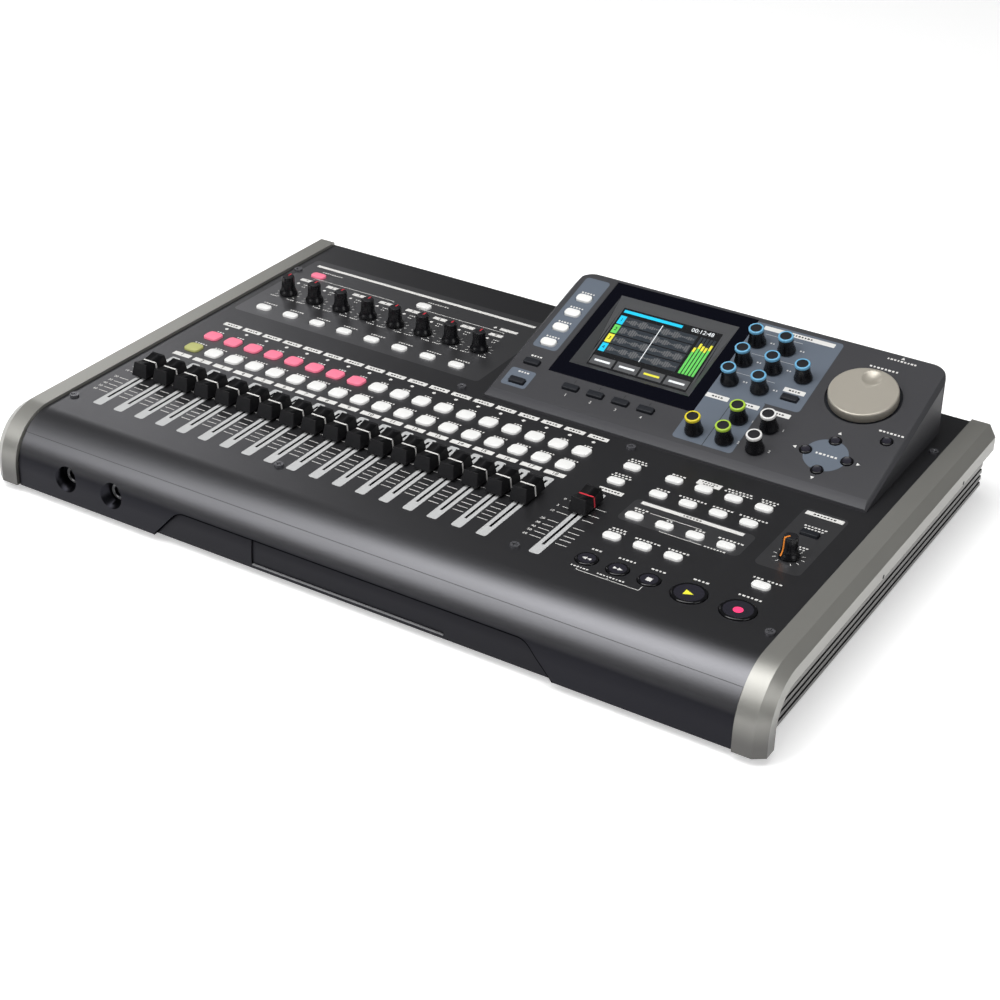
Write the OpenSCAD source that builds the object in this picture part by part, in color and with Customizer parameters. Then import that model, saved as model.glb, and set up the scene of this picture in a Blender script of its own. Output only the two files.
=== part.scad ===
// Desktop digital multitrack recorder: a flat casing with channel faders and keys,
// and a raised console with a display, encoders and a jog wheel.
// Origin: middle of the footprint on the table. +X right, +Y to the back, +Z up. Millimetres.

/* [Casing] */
// Height from the underside of the casing to the top panel
casing_h = 41.5; // [38:0.5:50]
// Radius of the curve where the casing rolls over its front
front_r = 30; // [26:0.5:33]
// Thickness of the top panel
sheet = 2; // [1.5:0.1:2.5]
// Thickness of the front bezel
bezel_t = 2.5; // [2:0.1:3]
// Gap between each end of the front bezel and the cheek beside it
bezel_gap = 0.8; // [0.3:0.1:1.2]
// Angle down the front curve, from the flat, where top panel and bezel part
parting_angle = 45; // [35:1:55]
// Thickness of the bottom pan and its rear wall
pan_t = 1.5; // [1:0.1:2]
// Flat ledge between the console and the rear wall
rear_ledge = 16.5; // [14:0.5:30]
// Height of the rubber feet
foot_h = 5; // [3:0.5:10]
// Diameter of the rubber feet
foot_d = 18; // [12:0.5:24]
// Distance of the feet from the front, rear and side walls
foot_inset = 34; // [20:1:60]

/* [Side cheeks] */
// Width of a side cheek
cheek_w = 17.8; // [15:0.1:22]
// Width of the flat on top of a cheek's rim
rim_flat = 11.5; // [9:0.1:13]
// Height of the rim above the panel
rim_proud = 1.8; // [1:0.1:3]
// Height of the bevel along the rim's outer edge
rim_bevel = 4.5; // [3:0.1:6]
// Depth of the rim below the panel surface
rim_skirt = 11.5; // [9:0.1:14]
// Thickness of the recessed side wall under the rim
side_wall = 10.8; // [8:0.1:13]
// Number of grooves along a side wall
groove_count = 6; // [3:1:6]
// Height of a groove
groove_h = 2; // [1.5:0.1:2.5]
// Depth of a groove
groove_depth = 1.5; // [1:0.1:2.5]
// Spacing of the grooves
groove_pitch = 4.6; // [4:0.1:5]
// Plain wall between the rim and a groove's front end
groove_margin = 2; // [1:0.1:4]
// Chamfer on the outer rear corner of a cheek
cheek_chamfer = 6; // [4:0.5:8]

/* [Channel strips] */
// Spacing of the channel strips
channel_pitch = 16.22; // [15:0.02:20]
// First channel from the left edge of the panel
channel_inset = 23.3; // [20:0.1:30]
// Select keys behind the upper end of the fader travel
select_f = 25.7; // [22:0.1:28]
// Record keys behind the select keys
record_f = 19.8; // [16.5:0.1:25]
// Width of a channel key
channel_key_w = 10.8; // [9:0.1:12]
// Length of a channel key
channel_key_l = 10; // [8:0.1:12]
// Corner radius of a channel key
channel_key_r = 3; // [1.5:0.1:3.5]

/* [Faders] */
// Middle of the fader caps at rest from the front of the casing
fader_f = 97.3; // [95:0.1:99]
// Middle of the master cap at rest from the front of the casing
master_f = 105; // [102:0.1:108]
// Lowest position of a cap from the front of the casing
fader_low_f = 62.4; // [58:0.1:65]
// Travel of a fader
fader_travel = 52; // [48:0.5:54]
// Length of a fader cap at its base
cap_l = 22; // [18:0.1:24]
// Width of a fader cap at its base
cap_w = 11.4; // [9:0.1:12]
// Inward slope of the cap's sides from base to top
cap_taper = 1; // [0.5:0.1:1.5]
// Inward slope of the cap's ends from base to top
cap_rake = 2; // [1:0.1:3]
// Height of a fader cap
cap_h = 8.9; // [7:0.1:11]
// Radius of the finger hollow across the cap
cap_hollow_r = 22; // [18:0.5:30]
// Depth of the finger hollow
cap_hollow = 2.1; // [1:0.1:3]
// Gap between cap and panel
cap_gap = 1.5; // [1:0.1:2]
// Thickness of a fader lever
lever_t = 0.8; // [0.6:0.05:1]
// Length of a fader lever along its slot
lever_l = 6; // [4:0.5:8]
// Depth of a fader lever inside the slide potentiometer
lever_depth = 4; // [3:0.1:5]
// Width of a slide potentiometer
slide_pot_w = 9; // [7:0.1:10]
// Height of a slide potentiometer
slide_pot_h = 8; // [7:0.1:10]
// Length of a slide potentiometer past the ends of its slot
slide_pot_end = 5; // [3:0.1:6]

/* [Input section] */
// Spacing of the inputs
input_pitch = 21.86; // [20:0.02:24]
// Source keys behind the record keys
source_f = 53.9; // [48:0.1:58.5]
// Trim knobs behind the source keys
trim_f = 27.2; // [22:0.1:32.5]
// Phantom power keys behind the trim knobs
phantom_f = 34.6; // [29:0.1:41]

/* [Edit, monitor and transport keys] */
// Master fader from the last channel strip's edge
master_gap = 17.7; // [16:0.1:24]
// First edit key column from the master fader
edit_gap = 27.5; // [26:0.1:34]
// Spacing of the edit key columns
edit_pitch = 19; // [17:0.1:22]
// Monitor column from the last edit key column
monitor_gap = 33.4; // [31:0.1:40]
// Right edge of the panel from the monitor column
monitor_margin = 28.1; // [25:0.1:34]
// Lower edit key row from the front of the casing
punch_f = 85.5; // [83:0.1:88]
// Locate key row behind the lower edit key row
locate_f = 25.9; // [20:0.1:31]
// Monitor select key from the front of the casing
monitor_key_f = 148.2; // [144:0.1:154]
// Monitor level knob from the front of the casing
monitor_f = 120.7; // [116:0.1:126]
// Transport keys from the front of the casing
transport_f = 57.6; // [54:0.1:61]
// Play key from the stop key
play_gap = 23.8; // [21:0.1:26]
// Width of an edit key
edit_key_w = 10.5; // [9:0.1:12]
// Length of an edit key
edit_key_l = 6.6; // [5:0.1:8]
// Corner radius of an edit key
edit_key_r = 2.6; // [1:0.1:3]
// Width of a dark function key
soft_key_w = 10.6; // [9:0.1:12]
// Length of a dark function key
soft_key_l = 4.6; // [3.5:0.1:6]
// Corner radius of a dark function key
soft_key_r = 0.8; // [0.4:0.1:1.5]
// Diameter of the small transport keys
small_transport_d = 12.8; // [11:0.1:14]
// Diameter of the play and record keys
large_transport_d = 20; // [17:0.1:22]

/* [Key action] */
// Height of the lit keys above the panel
key_proud = 1.3; // [0.9:0.1:2]
// Height of the dark function keys above their surface
soft_key_proud = 1.8; // [1:0.1:2.5]
// Travel of a key
key_travel = 0.8; // [0.5:0.1:1]
// Gap around a key in its hole
key_clear = 0.4; // [0.3:0.05:0.6]
// Gap between a key's flange and the panel above it
flange_gap = 0.25; // [0.15:0.05:0.4]
// Overhang of a key's flange past its hole
flange_lap = 0.8; // [0.5:0.1:1]
// Thickness of a key's flange
flange_t = 1; // [0.8:0.1:1.5]
// Diameter of a key's plunger
plunger_d = 3.6; // [2.5:0.1:4.5]
// Gap left between plunger and switch when a key is pressed
press_gap = 0.3; // [0.2:0.05:0.5]

/* [Knobs] */
// Diameter of a trim or monitor knob at its base
trim_base_d = 12.2; // [11:0.1:14]
// Diameter of a trim or monitor knob at its top
trim_top_d = 8.6; // [7:0.1:10]
// Height of a trim or monitor knob
trim_h = 13.4; // [10:0.1:16]
// Diameter of an encoder knob at its skirt
encoder_base_d = 11.6; // [10:0.1:13]
// Diameter of an encoder knob at its top
encoder_top_d = 9.6; // [8:0.1:10]
// Height of an encoder knob
encoder_h = 12.6; // [10:0.1:16]
// Gap between a knob and the surface under it
knob_gap = 0.6; // [0.4:0.1:1]
// Diameter of the control shafts
shaft_d = 6; // [4:0.1:6.5]
// Gap around a shaft in its bush
shaft_clear = 0.4; // [0.35:0.05:0.6]

/* [Console] */
// Slope of the console's face
console_tilt = 16.7; // [12:0.1:20]
// Front of the console from the front of the casing
console_f = 188; // [186:0.5:194]
// Right edge of the console from the right edge of the panel
console_margin = 11.3; // [9:0.1:20]
// Height of the face's plane above the panel at the console's front
console_lip = 3; // [2.5:0.1:5]
// Height of the upright edge at the console's front
console_edge = 1.5; // [1:0.1:2]
// Length of the bevel between that edge and the face
console_bevel = 6; // [4:0.1:8]
// Chamfer along the sides of the face
console_chamfer = 2.5; // [1:0.1:3]
// Wall of the console
console_wall = 2.5; // [2:0.1:3]
// Radius of the console's rear corners in plan
console_corner = 12; // [8:0.5:16]
// Width of the panel left under the console's walls
console_seat = 6; // [5:0.5:7]

/* [Display] */
// Left edge of the display frame from the left of the console
display_u = 27.8; // [26:0.1:34]
// Front edge of the display frame from the front of the console
display_v = 33.3; // [31:0.1:38]
// Width of the display frame
display_w = 100.4; // [98:0.1:110]
// Length of the display frame
display_l = 92.2; // [88:0.1:100]
// Console face left behind the display frame
display_margin = 2.2; // [1.8:0.1:10]
// Width of the window in the display frame
window_w = 83.8; // [78:0.1:88]
// Length of the window in the display frame
window_l = 69; // [66:0.1:72]
// Width of the visible picture
picture_w = 70; // [66:0.1:72]
// Length of the visible picture
picture_l = 52.5; // [48:0.1:54]
// Depth of the picture's middle below the face
picture_depth = 3.5; // [3.2:0.1:4.5]
// Slope of the screen against the console's face
picture_tilt = 5.4; // [3:0.1:6]
// Border of the screen module around the picture
screen_border = 3.5; // [2:0.1:5]
// Thickness of the screen module
screen_t = 3; // [2:0.1:4]

/* [Console controls] */
// Left key column from the left of the console
menu_u = 15; // [13:0.1:17]
// Lowest lit key of the left column from the front of the console
page_v = 56.1; // [52:0.1:58]
// Spacing of the lit keys in the left column
page_pitch = 15.45; // [13:0.05:17]
// Menu key from the front of the console
menu_v = 35.3; // [33:0.1:38]
// Home key from the front of the console
home_v = 16.6; // [14:0.1:20]
// First function key from the left edge of the display frame
function_u = 21.5; // [18:0.1:24]
// Spacing of the function keys
function_pitch = 17.43; // [15:0.05:20]
// Function keys from the front of the console
function_v = 23.7; // [20:0.1:26]
// First encoder column from the right edge of the display frame
encoder_u = 8.6; // [8:0.1:14]
// Spacing of the encoder columns
encoder_pitch_u = 20; // [18:0.1:24]
// Front encoder row from the front of the console
encoder_v = 18.6; // [17:0.1:21]
// Spacing of the encoder rows
encoder_pitch_v = 19.3; // [17:0.1:21]
// Spacing of the two blocks of encoder rows
encoder_block_v = 28.5; // [25:0.1:31]
// Jog wheel from the last encoder column
jog_u = 40; // [38:0.1:50]
// Jog wheel from the front of the console
jog_v = 84; // [78:0.1:90]
// Right edge of the console from the jog wheel's axis
jog_margin = 38.4; // [33:0.1:44]
// Diameter of the jog wheel
jog_d = 42.5; // [38:0.5:46]
// Height of the jog wheel above the face
jog_h = 5.5; // [4.5:0.1:10]
// Width of the recess around the jog wheel
jog_ring = 2; // [1.5:0.1:3]
// Depth of the recess around the jog wheel
jog_sink = 1.6; // [1:0.1:1.8]
// Finger dimple's distance from the wheel's axis
dimple_r = 12.8; // [10:0.1:14]
// Diameter of the finger dimple
dimple_d = 12; // [9:0.1:13]
// Depth of the finger dimple
dimple_depth = 1.5; // [1:0.1:2.5]
// Cursor keys' middle from the front of the console
cursor_v = 30.3; // [25:0.1:33]
// Cursor keys' distance from their middle
cursor_r = 13; // [11:0.1:15]
// Diameter of the cursor and jog play keys
cursor_d = 7.2; // [6:0.1:8.5]
// Jog play key from the jog wheel's axis, to the right
jog_play_u = 27.3; // [22:0.1:30]
// Jog play key from the front of the console
jog_play_v = 54.5; // [52:0.1:56]

/* [Front sockets] */
// Headphone socket from the left edge of the panel
phones_l = 38.2; // [34:0.1:50]
// Remote socket from the headphone socket
remote_gap = 35; // [28:0.1:45]
// Front sockets below the panel surface
front_socket_drop = 26.5; // [24:0.1:28]
// Diameter of the recess around a front socket
recess_d = 16; // [14:0.1:18]
// Depth of that recess behind the front face
recess_depth = 8; // [6:0.1:10]
// Wall of the recess
recess_wall = 1.5; // [1:0.1:2]
// Bore of a large jack socket
jack_bore = 6.5; // [6.4:0.05:6.7]
// Depth of that bore
jack_depth = 18; // [15:0.5:22]
// Bore of the small remote socket
remote_bore = 2.6; // [2.5:0.05:3]
// Outer size of a socket's body
socket_body = 13; // [11:0.1:14]

/* [Front insert] */
// Half width of the front insert at the bottom
insert_bottom = 135; // [128:0.5:140]
// Half width of the front insert at the top
insert_top = 117; // [110:0.5:122]
// Top of the front insert below the panel surface
insert_drop = 21.4; // [19:0.1:24]
// Radius of the insert's upper corners
insert_r = 12; // [8:0.5:16]
// Half width of the sunk blank field on the insert
plate_half = 65; // [50:0.5:80]
// Margin of the blank field above and below
plate_margin = 1.9; // [1:0.1:3]
// Depth of the blank field below the insert's surface
plate_sink = 1; // [0.6:0.1:1.2]
// Thickness of the insert
insert_t = 2; // [1.5:0.1:3]
// Gap between bezel and insert
insert_gap = 0.15; // [0.1:0.05:0.3]

/* [Rear sockets] */
// First microphone socket from the left edge of the panel
combo_inset = 24; // [22:0.5:30]
// Spacing of the microphone sockets
combo_pitch = 27; // [25:0.5:28]
// Diameter of a microphone socket
combo_d = 23.5; // [21:0.1:24.5]
// Length of a microphone socket inside the casing
combo_len = 24; // [20:0.5:28]
// First line socket from the last microphone socket
line_gap = 28.5; // [24:0.5:30]
// Spacing of the line sockets
line_pitch = 17; // [16:0.1:18]
// Number of line sockets
line_count = 6; // [2:1:6]
// First data socket from the last line socket
midi_gap = 21; // [18:0.5:24]
// Spacing of the two data sockets
midi_pitch = 20; // [18:0.5:22]
// Diameter of a data socket
midi_d = 15.5; // [14:0.1:17]
// Computer socket from the last data socket
usb_gap = 18; // [16:0.5:20]
// Card slot from the computer socket
card_gap = 24; // [22:0.5:26]
// Width of the card slot
card_w = 25; // [24:0.5:27]
// Standby button from the card slot
standby_gap = 27; // [23:0.5:30]
// Power inlet from the standby button
inlet_gap = 23; // [16:0.5:24]
// Least distance of the power inlet from the right edge of the panel
inlet_margin = 15; // [14:0.5:24]
// Height of the sockets' nuts and faces over the rear wall
socket_proud = 2.2; // [1.5:0.1:3]
// Diameter of the standby button
standby_d = 9; // [7:0.1:11]
// Travel of the standby button
standby_travel = 1.5; // [1:0.1:2]

/* [Boards and fixings] */
// Space between the panel and the key boards below it
board_drop = 10; // [9.5:0.1:12]
// Thickness of the circuit boards
board_t = 1.6; // [1:0.1:2]
// Height of a key switch on its board
switch_h = 3.8; // [3:0.1:4.3]
// Size of a key switch
switch_w = 6; // [5:0.1:7]
// Height of the main board's standoffs
standoff_h = 5; // [4:0.5:8]
// Diameter of the panel screws' heads
screw_head_d = 5.6; // [5:0.1:6.5]
// Height of the panel screws' heads
screw_head_h = 1.3; // [0.8:0.1:2]
// Diameter of the panel screws
screw_d = 2.4; // [2:0.1:2.6]
// Length of the panel screws
screw_l = 9; // [6:0.5:12]
// Diameter of the posts that carry the panel
post_d = 6; // [5.5:0.1:6.5]

/* [Panel screws] */
// Front row of panel screws from the front of the casing
front_screw_f = 47.6; // [45:0.1:49]
// Panel screw behind the master fader, in front of the console
master_screw_f = 7.6; // [4:0.1:12]
// Panel screw beside the console, behind the console's front
console_screw_f = 2.3; // [0:0.1:8]
// Side panel screws at the rear from the front of the casing
side_screw_f = 276.5; // [270:0.5:280]
// Side panel screws from the edge of the panel
side_screw_inset = 5.2; // [4.5:0.1:6]
// Panel screws beside the master fader, to its left
master_screw_gap = 11.9; // [10.5:0.1:13]
// Panel screw beside the console from the console's wall
console_screw_gap = 17; // [14:0.5:18]

/* [Hidden] */
$fn = 64;
eps = 0.01;
channel_count = 18;
input_count = 8;
phantom_group = 4;
pad = function(n) n < 10 ? str("0", n) : str(n);
channel_names = [for (i = [1 : channel_count]) str("channel_fader_", pad(i))];
trim_names = [for (i = [1 : input_count]) str("trim_knob_", i)];
encoder_names = ["eq_encoder_1", "eq_encoder_2", "eq_encoder_3", "eq_encoder_4", "eq_encoder_5",
    "eq_encoder_6", "eq_encoder_7", "pan_encoder", "send_encoder_1", "send_encoder_2",
    "master_send_encoder_1", "master_send_encoder_2"];

// Overall layout
master_l = channel_inset + channel_count * channel_pitch + master_gap;
edit_l = master_l + edit_gap;
edit_columns = 4;
monitor_l = edit_l + (edit_columns - 1) * edit_pitch + monitor_gap;
inlet_l = combo_inset + (input_count - 1) * combo_pitch + line_gap + (line_count - 1) * line_pitch
    + midi_gap + midi_pitch + usb_gap + card_gap + standby_gap + inlet_gap;
panel_w = max(monitor_l + monitor_margin, inlet_l + inlet_margin);
console_len = display_v + display_l + display_margin;
console_d = console_len * cos(console_tilt);
casing_d = console_f + console_d + rear_ledge;
front_y = -(casing_d + socket_proud - rim_proud) / 2;
rear_y = front_y + casing_d;
panel_z = foot_h + casing_h;
arc_y = front_y + front_r;
arc_z = panel_z - front_r;
panel_gap = 0.3;
encoder_u0 = display_u + display_w + encoder_u;
jog_u0 = encoder_u0 + 2 * encoder_pitch_u + jog_u;
console_w = jog_u0 + jog_margin;
console_x = panel_w / 2 - console_margin - console_w;
console_y = front_y + console_f;
rear_z = foot_h + pan_t + (casing_h - sheet - pan_t) / 2;

// Rows of controls on the panel, from the front of the casing
select_row = fader_low_f + fader_travel + select_f;
record_row = select_row + record_f;
source_row = record_row + source_f;
trim_row = source_row + trim_f;
phantom_row = trim_row + phantom_f;
locate_row = punch_f + locate_f;
console_screw_row = console_f + console_screw_f;

// Key action, below the surface that a key stands in
panel_plunger = board_drop - flange_gap - flange_t - switch_h - key_travel - press_gap;
slot_clear = 0.35;
slot_end = 1.5;
lever_clear = 1;

// Colours
charcoal = [0.16, 0.16, 0.18];
black = [0.06, 0.06, 0.07];
silver = [0.66, 0.65, 0.63];
lit_white = [0.92, 0.92, 0.92];
lit_pink = [0.93, 0.5, 0.6];
board_green = [0.1, 0.3, 0.2];
steel = [0.6, 0.6, 0.62];
rubber = [0.1, 0.1, 0.1];

// Distance from the panel's left edge, and from the casing's front, as coordinates
function from_left(l) = l - panel_w / 2;
function from_front(f) = front_y + f;
function channel_x(i) = from_left(channel_inset + i * channel_pitch);
function input_x(j) = from_left(channel_inset + j * input_pitch);
function edit_x(c) = from_left(edit_l + c * edit_pitch);
master_x = from_left(master_l);
monitor_x = from_left(monitor_l);

// Key positions on the panel
record_spots = [for (i = [0 : channel_count - 1]) [channel_x(i), from_front(record_row)]];
select_spots = [for (i = [0 : channel_count - 1]) [channel_x(i), from_front(select_row)]];
source_spots = [for (j = [0 : input_count - 1]) [input_x(j), from_front(source_row)]];
phantom_spots = [for (j = [0 : phantom_group : input_count - 1]) [input_x(j), from_front(phantom_row)]];
input_spots = concat(source_spots, phantom_spots);
edit_rows = [record_row, select_row, locate_row];
edit_spots = concat(
    [for (f = edit_rows, c = [0 : edit_columns - 1]) [edit_x(c), from_front(f)]],
    [for (c = [0 : edit_columns - 2]) [edit_x(c), from_front(punch_f)]],
    [[master_x, from_front(record_row)], [master_x, from_front(select_row)]],
    [[monitor_x, from_front(punch_f)]]);
monitor_key_spot = [monitor_x, from_front(monitor_key_f)];
small_transport_spots = [for (c = [0 : 2]) [edit_x(c), from_front(transport_f)]];
large_transport_spots = [[edit_x(2) + play_gap, from_front(transport_f)],
    [monitor_x, from_front(transport_f)]];
trim_spots = [for (j = [0 : input_count - 1]) [input_x(j), from_front(trim_row)]];
monitor_spot = [monitor_x, from_front(monitor_f)];

// Control positions on the console's face, from its left front corner
page_spots = [for (k = [0 : 3]) [menu_u, page_v + k * page_pitch]];
function_spots = [for (k = [0 : 3]) [display_u + function_u + k * function_pitch, function_v]];
function encoder_row(k) = encoder_v + k * encoder_pitch_v
    + (k > 1 ? encoder_block_v - encoder_pitch_v : 0);
function encoder_spot(c, k) = [encoder_u0 + c * encoder_pitch_u, encoder_row(k)];
encoder_spots = [encoder_spot(0, 4), encoder_spot(1, 4), encoder_spot(0, 3), encoder_spot(1, 3),
    encoder_spot(2, 3), encoder_spot(0, 2), encoder_spot(1, 2), encoder_spot(0, 0),
    encoder_spot(1, 1), encoder_spot(1, 0), encoder_spot(2, 1), encoder_spot(2, 0)];
soft_spots = concat([[menu_u, menu_v], [menu_u, home_v]], function_spots, [encoder_spot(2, 2)]);
jog_spot = [jog_u0, jog_v];
cursor_spots = concat([for (a = [0 : 90 : 270]) [jog_u0 + cursor_r * cos(a), cursor_v + cursor_r * sin(a)]],
    [[jog_u0 + jog_play_u, jog_play_v]]);
display_middle = [display_u + display_w / 2, display_v + display_l / 2];

// Knob profiles
trim_foot = 1.4;
trim_flare = 4.5;
trim_waist = 0.7;
encoder_foot = 1;
encoder_flare = 5;
encoder_waist = 0.2;
knob_edge = 0.5;
jog_edge = 2;

// Display holder, control bodies and circuit boards
display_clear = 0.2;
holder_border = 4;
holder_back = 1.2;
holder_depth = picture_depth + picture_l / 2 * sin(picture_tilt) + screen_t + holder_back;
display_lap = 2;
skin = 0.1;
shaft_rise = 2;
shaft_down = board_drop - shaft_rise;
shaft_end = 0.5;
shaft_grip = 2;
pot_wall = 2.5;
board_edge = 13;
post_clear = 1;
board_left = from_left(side_screw_inset + post_d / 2 + post_clear);
channel_board_back = min(from_front(record_row) + board_edge,
    from_front(console_screw_row) - post_d / 2 - post_clear);
switch_stem = 0.8;
master_board_half = 7;
transport_rim = 6.5;
transport_edge = large_transport_d / 2 + transport_rim;
spacer_d = 4;
spacer_inset = 2.5;
console_board_clear = 1;
console_board_inset = console_seat + console_board_clear;
main_gap = 6;
main_len = 90;
main_inset = 70;
main_back = rear_y - combo_len - main_gap;
main_front = main_back - main_len;
main_half = panel_w / 2 - main_inset;
standoff_inset = 6;
standoff_spots = [for (x = [-1, 1], y = [main_front + standoff_inset, main_back - standoff_inset])
    [x * (main_half - standoff_inset), y]];

// Fader slots
slot_w = lever_t + 2 * slot_clear;
slot_front = from_front(fader_low_f) - lever_l / 2 - slot_end;
slot_len = fader_travel + lever_l + 2 * slot_end;
fader_x = concat([for (i = [0 : channel_count - 1]) channel_x(i)], [master_x]);

// Panel screws: the front row, behind the master fader, beside the console and at the sides
screw_spots = [
    [from_left(side_screw_inset), from_front(front_screw_f)],
    [channel_x(floor(channel_count / 2) - 0.5), from_front(front_screw_f)],
    [master_x - master_screw_gap, from_front(front_screw_f)],
    [from_left(panel_w - side_screw_inset), from_front(front_screw_f)],
    [master_x - master_screw_gap, from_front(console_f - master_screw_f)],
    [console_x - console_screw_gap, from_front(console_screw_row)],
    [from_left(side_screw_inset), from_front(side_screw_f)],
    [from_left(panel_w - side_screw_inset), from_front(side_screw_f)]];

screw_clear = 0.4;
cross_l = 3.4;
cross_w = 0.8;

// Rear sockets
function combo_x(j) = from_left(combo_inset + j * combo_pitch);
function line_x(k) = combo_x(input_count - 1) + line_gap + k * line_pitch;
function midi_x(k) = line_x(line_count - 1) + midi_gap + k * midi_pitch;
usb_x = midi_x(1) + usb_gap;
card_x = usb_x + card_gap;
standby_x = card_x + standby_gap;
inlet_x = standby_x + inlet_gap;
socket_lip = 1.4;
input_board_back = min(from_front(phantom_row) + board_edge,
    rear_y + socket_proud - socket_lip - combo_len - post_clear);
socket_clear = 0.2;
pin_depth = 11;
combo_pin_r = 7.3;
combo_pin_d = 2.4;
bush_d = 9.4;
nut_d = 12.8;
midi_len = 14;
midi_pin_r = 5;
midi_pin_d = 1.8;
usb_w = 12;
usb_h = 10.8;
usb_len = 16;
usb_wall = 1.5;
usb_tongue = [5.6, 3.2, pin_depth];
card_h = 3.4;
card_wall = 0.5;
card_len = 28;
inlet_w = 10;
inlet_d = 7;
inlet_bore = 5.6;
inlet_pin_d = 2;
inlet_len = 13;
standby_guide = 8;
standby_flange_d = standby_d + 3;
insert_lap = 3;
insert_steps = 8;
phones_x = from_left(phones_l);
remote_x = phones_x + remote_gap;
front_socket_z = panel_z - front_socket_drop;

// Plain shapes
module rounded_rect(w, l, r) {
    c = min(r, w / 2 - 0.1, l / 2 - 0.1);
    square([w - 2 * c, l], center = true);
    square([w, l - 2 * c], center = true);
    for (x = [-1, 1], y = [-1, 1])
        translate([x * (w / 2 - c), y * (l / 2 - c)]) circle(c);
}

module along_x(w) {
    rotate([90, 0, 90]) linear_extrude(w, center = true) children();
}

module on_console() {
    translate([console_x, console_y, panel_z + console_lip]) rotate([console_tilt, 0, 0]) children();
}

// Ring sector between two angles, outer radius r and thickness t
module arc_band(r, t, from, to) {
    reach = 2 * r;
    intersection() {
        difference() {
            circle(r);
            circle(r - t);
        }
        polygon([[0, 0], reach * [cos(from), sin(from)], reach * [cos((from + to) / 2), sin((from + to) / 2)],
            reach * [cos(to), sin(to)]]);
    }
}

// Upright edge and front curve below the parting line, drawn in from the front by inset
module front_wall(inset, t) {
    translate([arc_y, arc_z]) arc_band(front_r - inset, t, 90 + parting_angle, 180);
    translate([front_y + inset, foot_h]) square([t, arc_z - foot_h]);
}

module key_hole(spot, w, l, r) {
    translate(spot) rounded_rect(w + 2 * key_clear, l + 2 * key_clear, r + key_clear);
}

// A key in a surface of thickness wall: cap, flange behind the surface and plunger
module key_flange(w, l, wall) {
    lap = key_clear + flange_lap;
    translate([0, 0, -(wall + flange_gap + flange_t / 2)])
        cube([w + 2 * lap, l + 2 * lap, flange_t], center = true);
    translate([0, 0, -(wall + flange_gap + flange_t + panel_plunger)])
        cylinder(d = plunger_d, h = panel_plunger + eps);
}

module plate_key(w, l, r, proud, wall) {
    translate([0, 0, -(wall + flange_gap + eps)])
        linear_extrude(wall + flange_gap + eps + proud) rounded_rect(w, l, r);
    key_flange(w, l, wall);
}

module round_key(d, proud, wall) {
    translate([0, 0, -(wall + flange_gap + eps)]) cylinder(d = d, h = wall + flange_gap + eps + proud);
    key_flange(d, d, wall);
}

// Casing
module panel_outline() {
    difference() {
        translate([-panel_w / 2 + panel_gap, arc_y])
            square([panel_w - 2 * panel_gap, rear_y - arc_y]);
        for (s = concat(record_spots, select_spots)) key_hole(s, channel_key_w, channel_key_l, channel_key_r);
        for (s = concat(input_spots, edit_spots)) key_hole(s, edit_key_w, edit_key_l, edit_key_r);
        key_hole(monitor_key_spot, soft_key_w, soft_key_l, soft_key_r);
        for (s = small_transport_spots) translate(s) circle(d = small_transport_d + 2 * key_clear);
        for (s = large_transport_spots) translate(s) circle(d = large_transport_d + 2 * key_clear);
        for (s = concat(trim_spots, [monitor_spot])) translate(s) circle(d = shaft_d + 2 * shaft_clear);
        for (x = fader_x)
            translate([x - slot_w / 2, slot_front]) square([slot_w, slot_len]);
        for (s = screw_spots) translate(s) circle(d = screw_d + 2 * screw_clear);
        translate([console_x + console_seat, console_y + console_seat])
            square([console_w - 2 * console_seat, console_d - 2 * console_seat]);
    }
}

module top_panel() {
    color(charcoal) {
        translate([0, 0, panel_z - sheet]) linear_extrude(sheet) panel_outline();
        along_x(panel_w - 2 * panel_gap)
            translate([arc_y, arc_z]) arc_band(front_r, sheet, 90, 90 + parting_angle);
    }
}

module recess_cup(x, extra) {
    translate([x, front_y - extra, front_socket_z]) rotate([-90, 0, 0])
        cylinder(d = recess_d + 2 * extra, h = recess_depth + 2 * extra);
}

module insert_shape(grow) {
    slant = (insert_bottom - insert_top) / (casing_h - insert_drop);
    top = panel_z - insert_drop + grow;
    low = insert_bottom + slant + grow;
    lean = atan2(top - foot_h + 1, low - insert_top - grow);
    corner = [insert_top + grow - insert_r * tan(lean / 2), top - insert_r];
    turns = [for (k = [0 : insert_steps]) lean * k / insert_steps];
    polygon(concat([[-low, foot_h - 1], [low, foot_h - 1]],
        [for (a = turns) corner + insert_r * [sin(lean - a), cos(lean - a)]],
        [for (a = turns) [-corner.x - insert_r * sin(a), corner.y + insert_r * cos(a)]]));
}

module through_front() {
    translate([0, front_y + front_r, 0]) rotate([90, 0, 0]) linear_extrude(2 * front_r) children();
}

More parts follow.
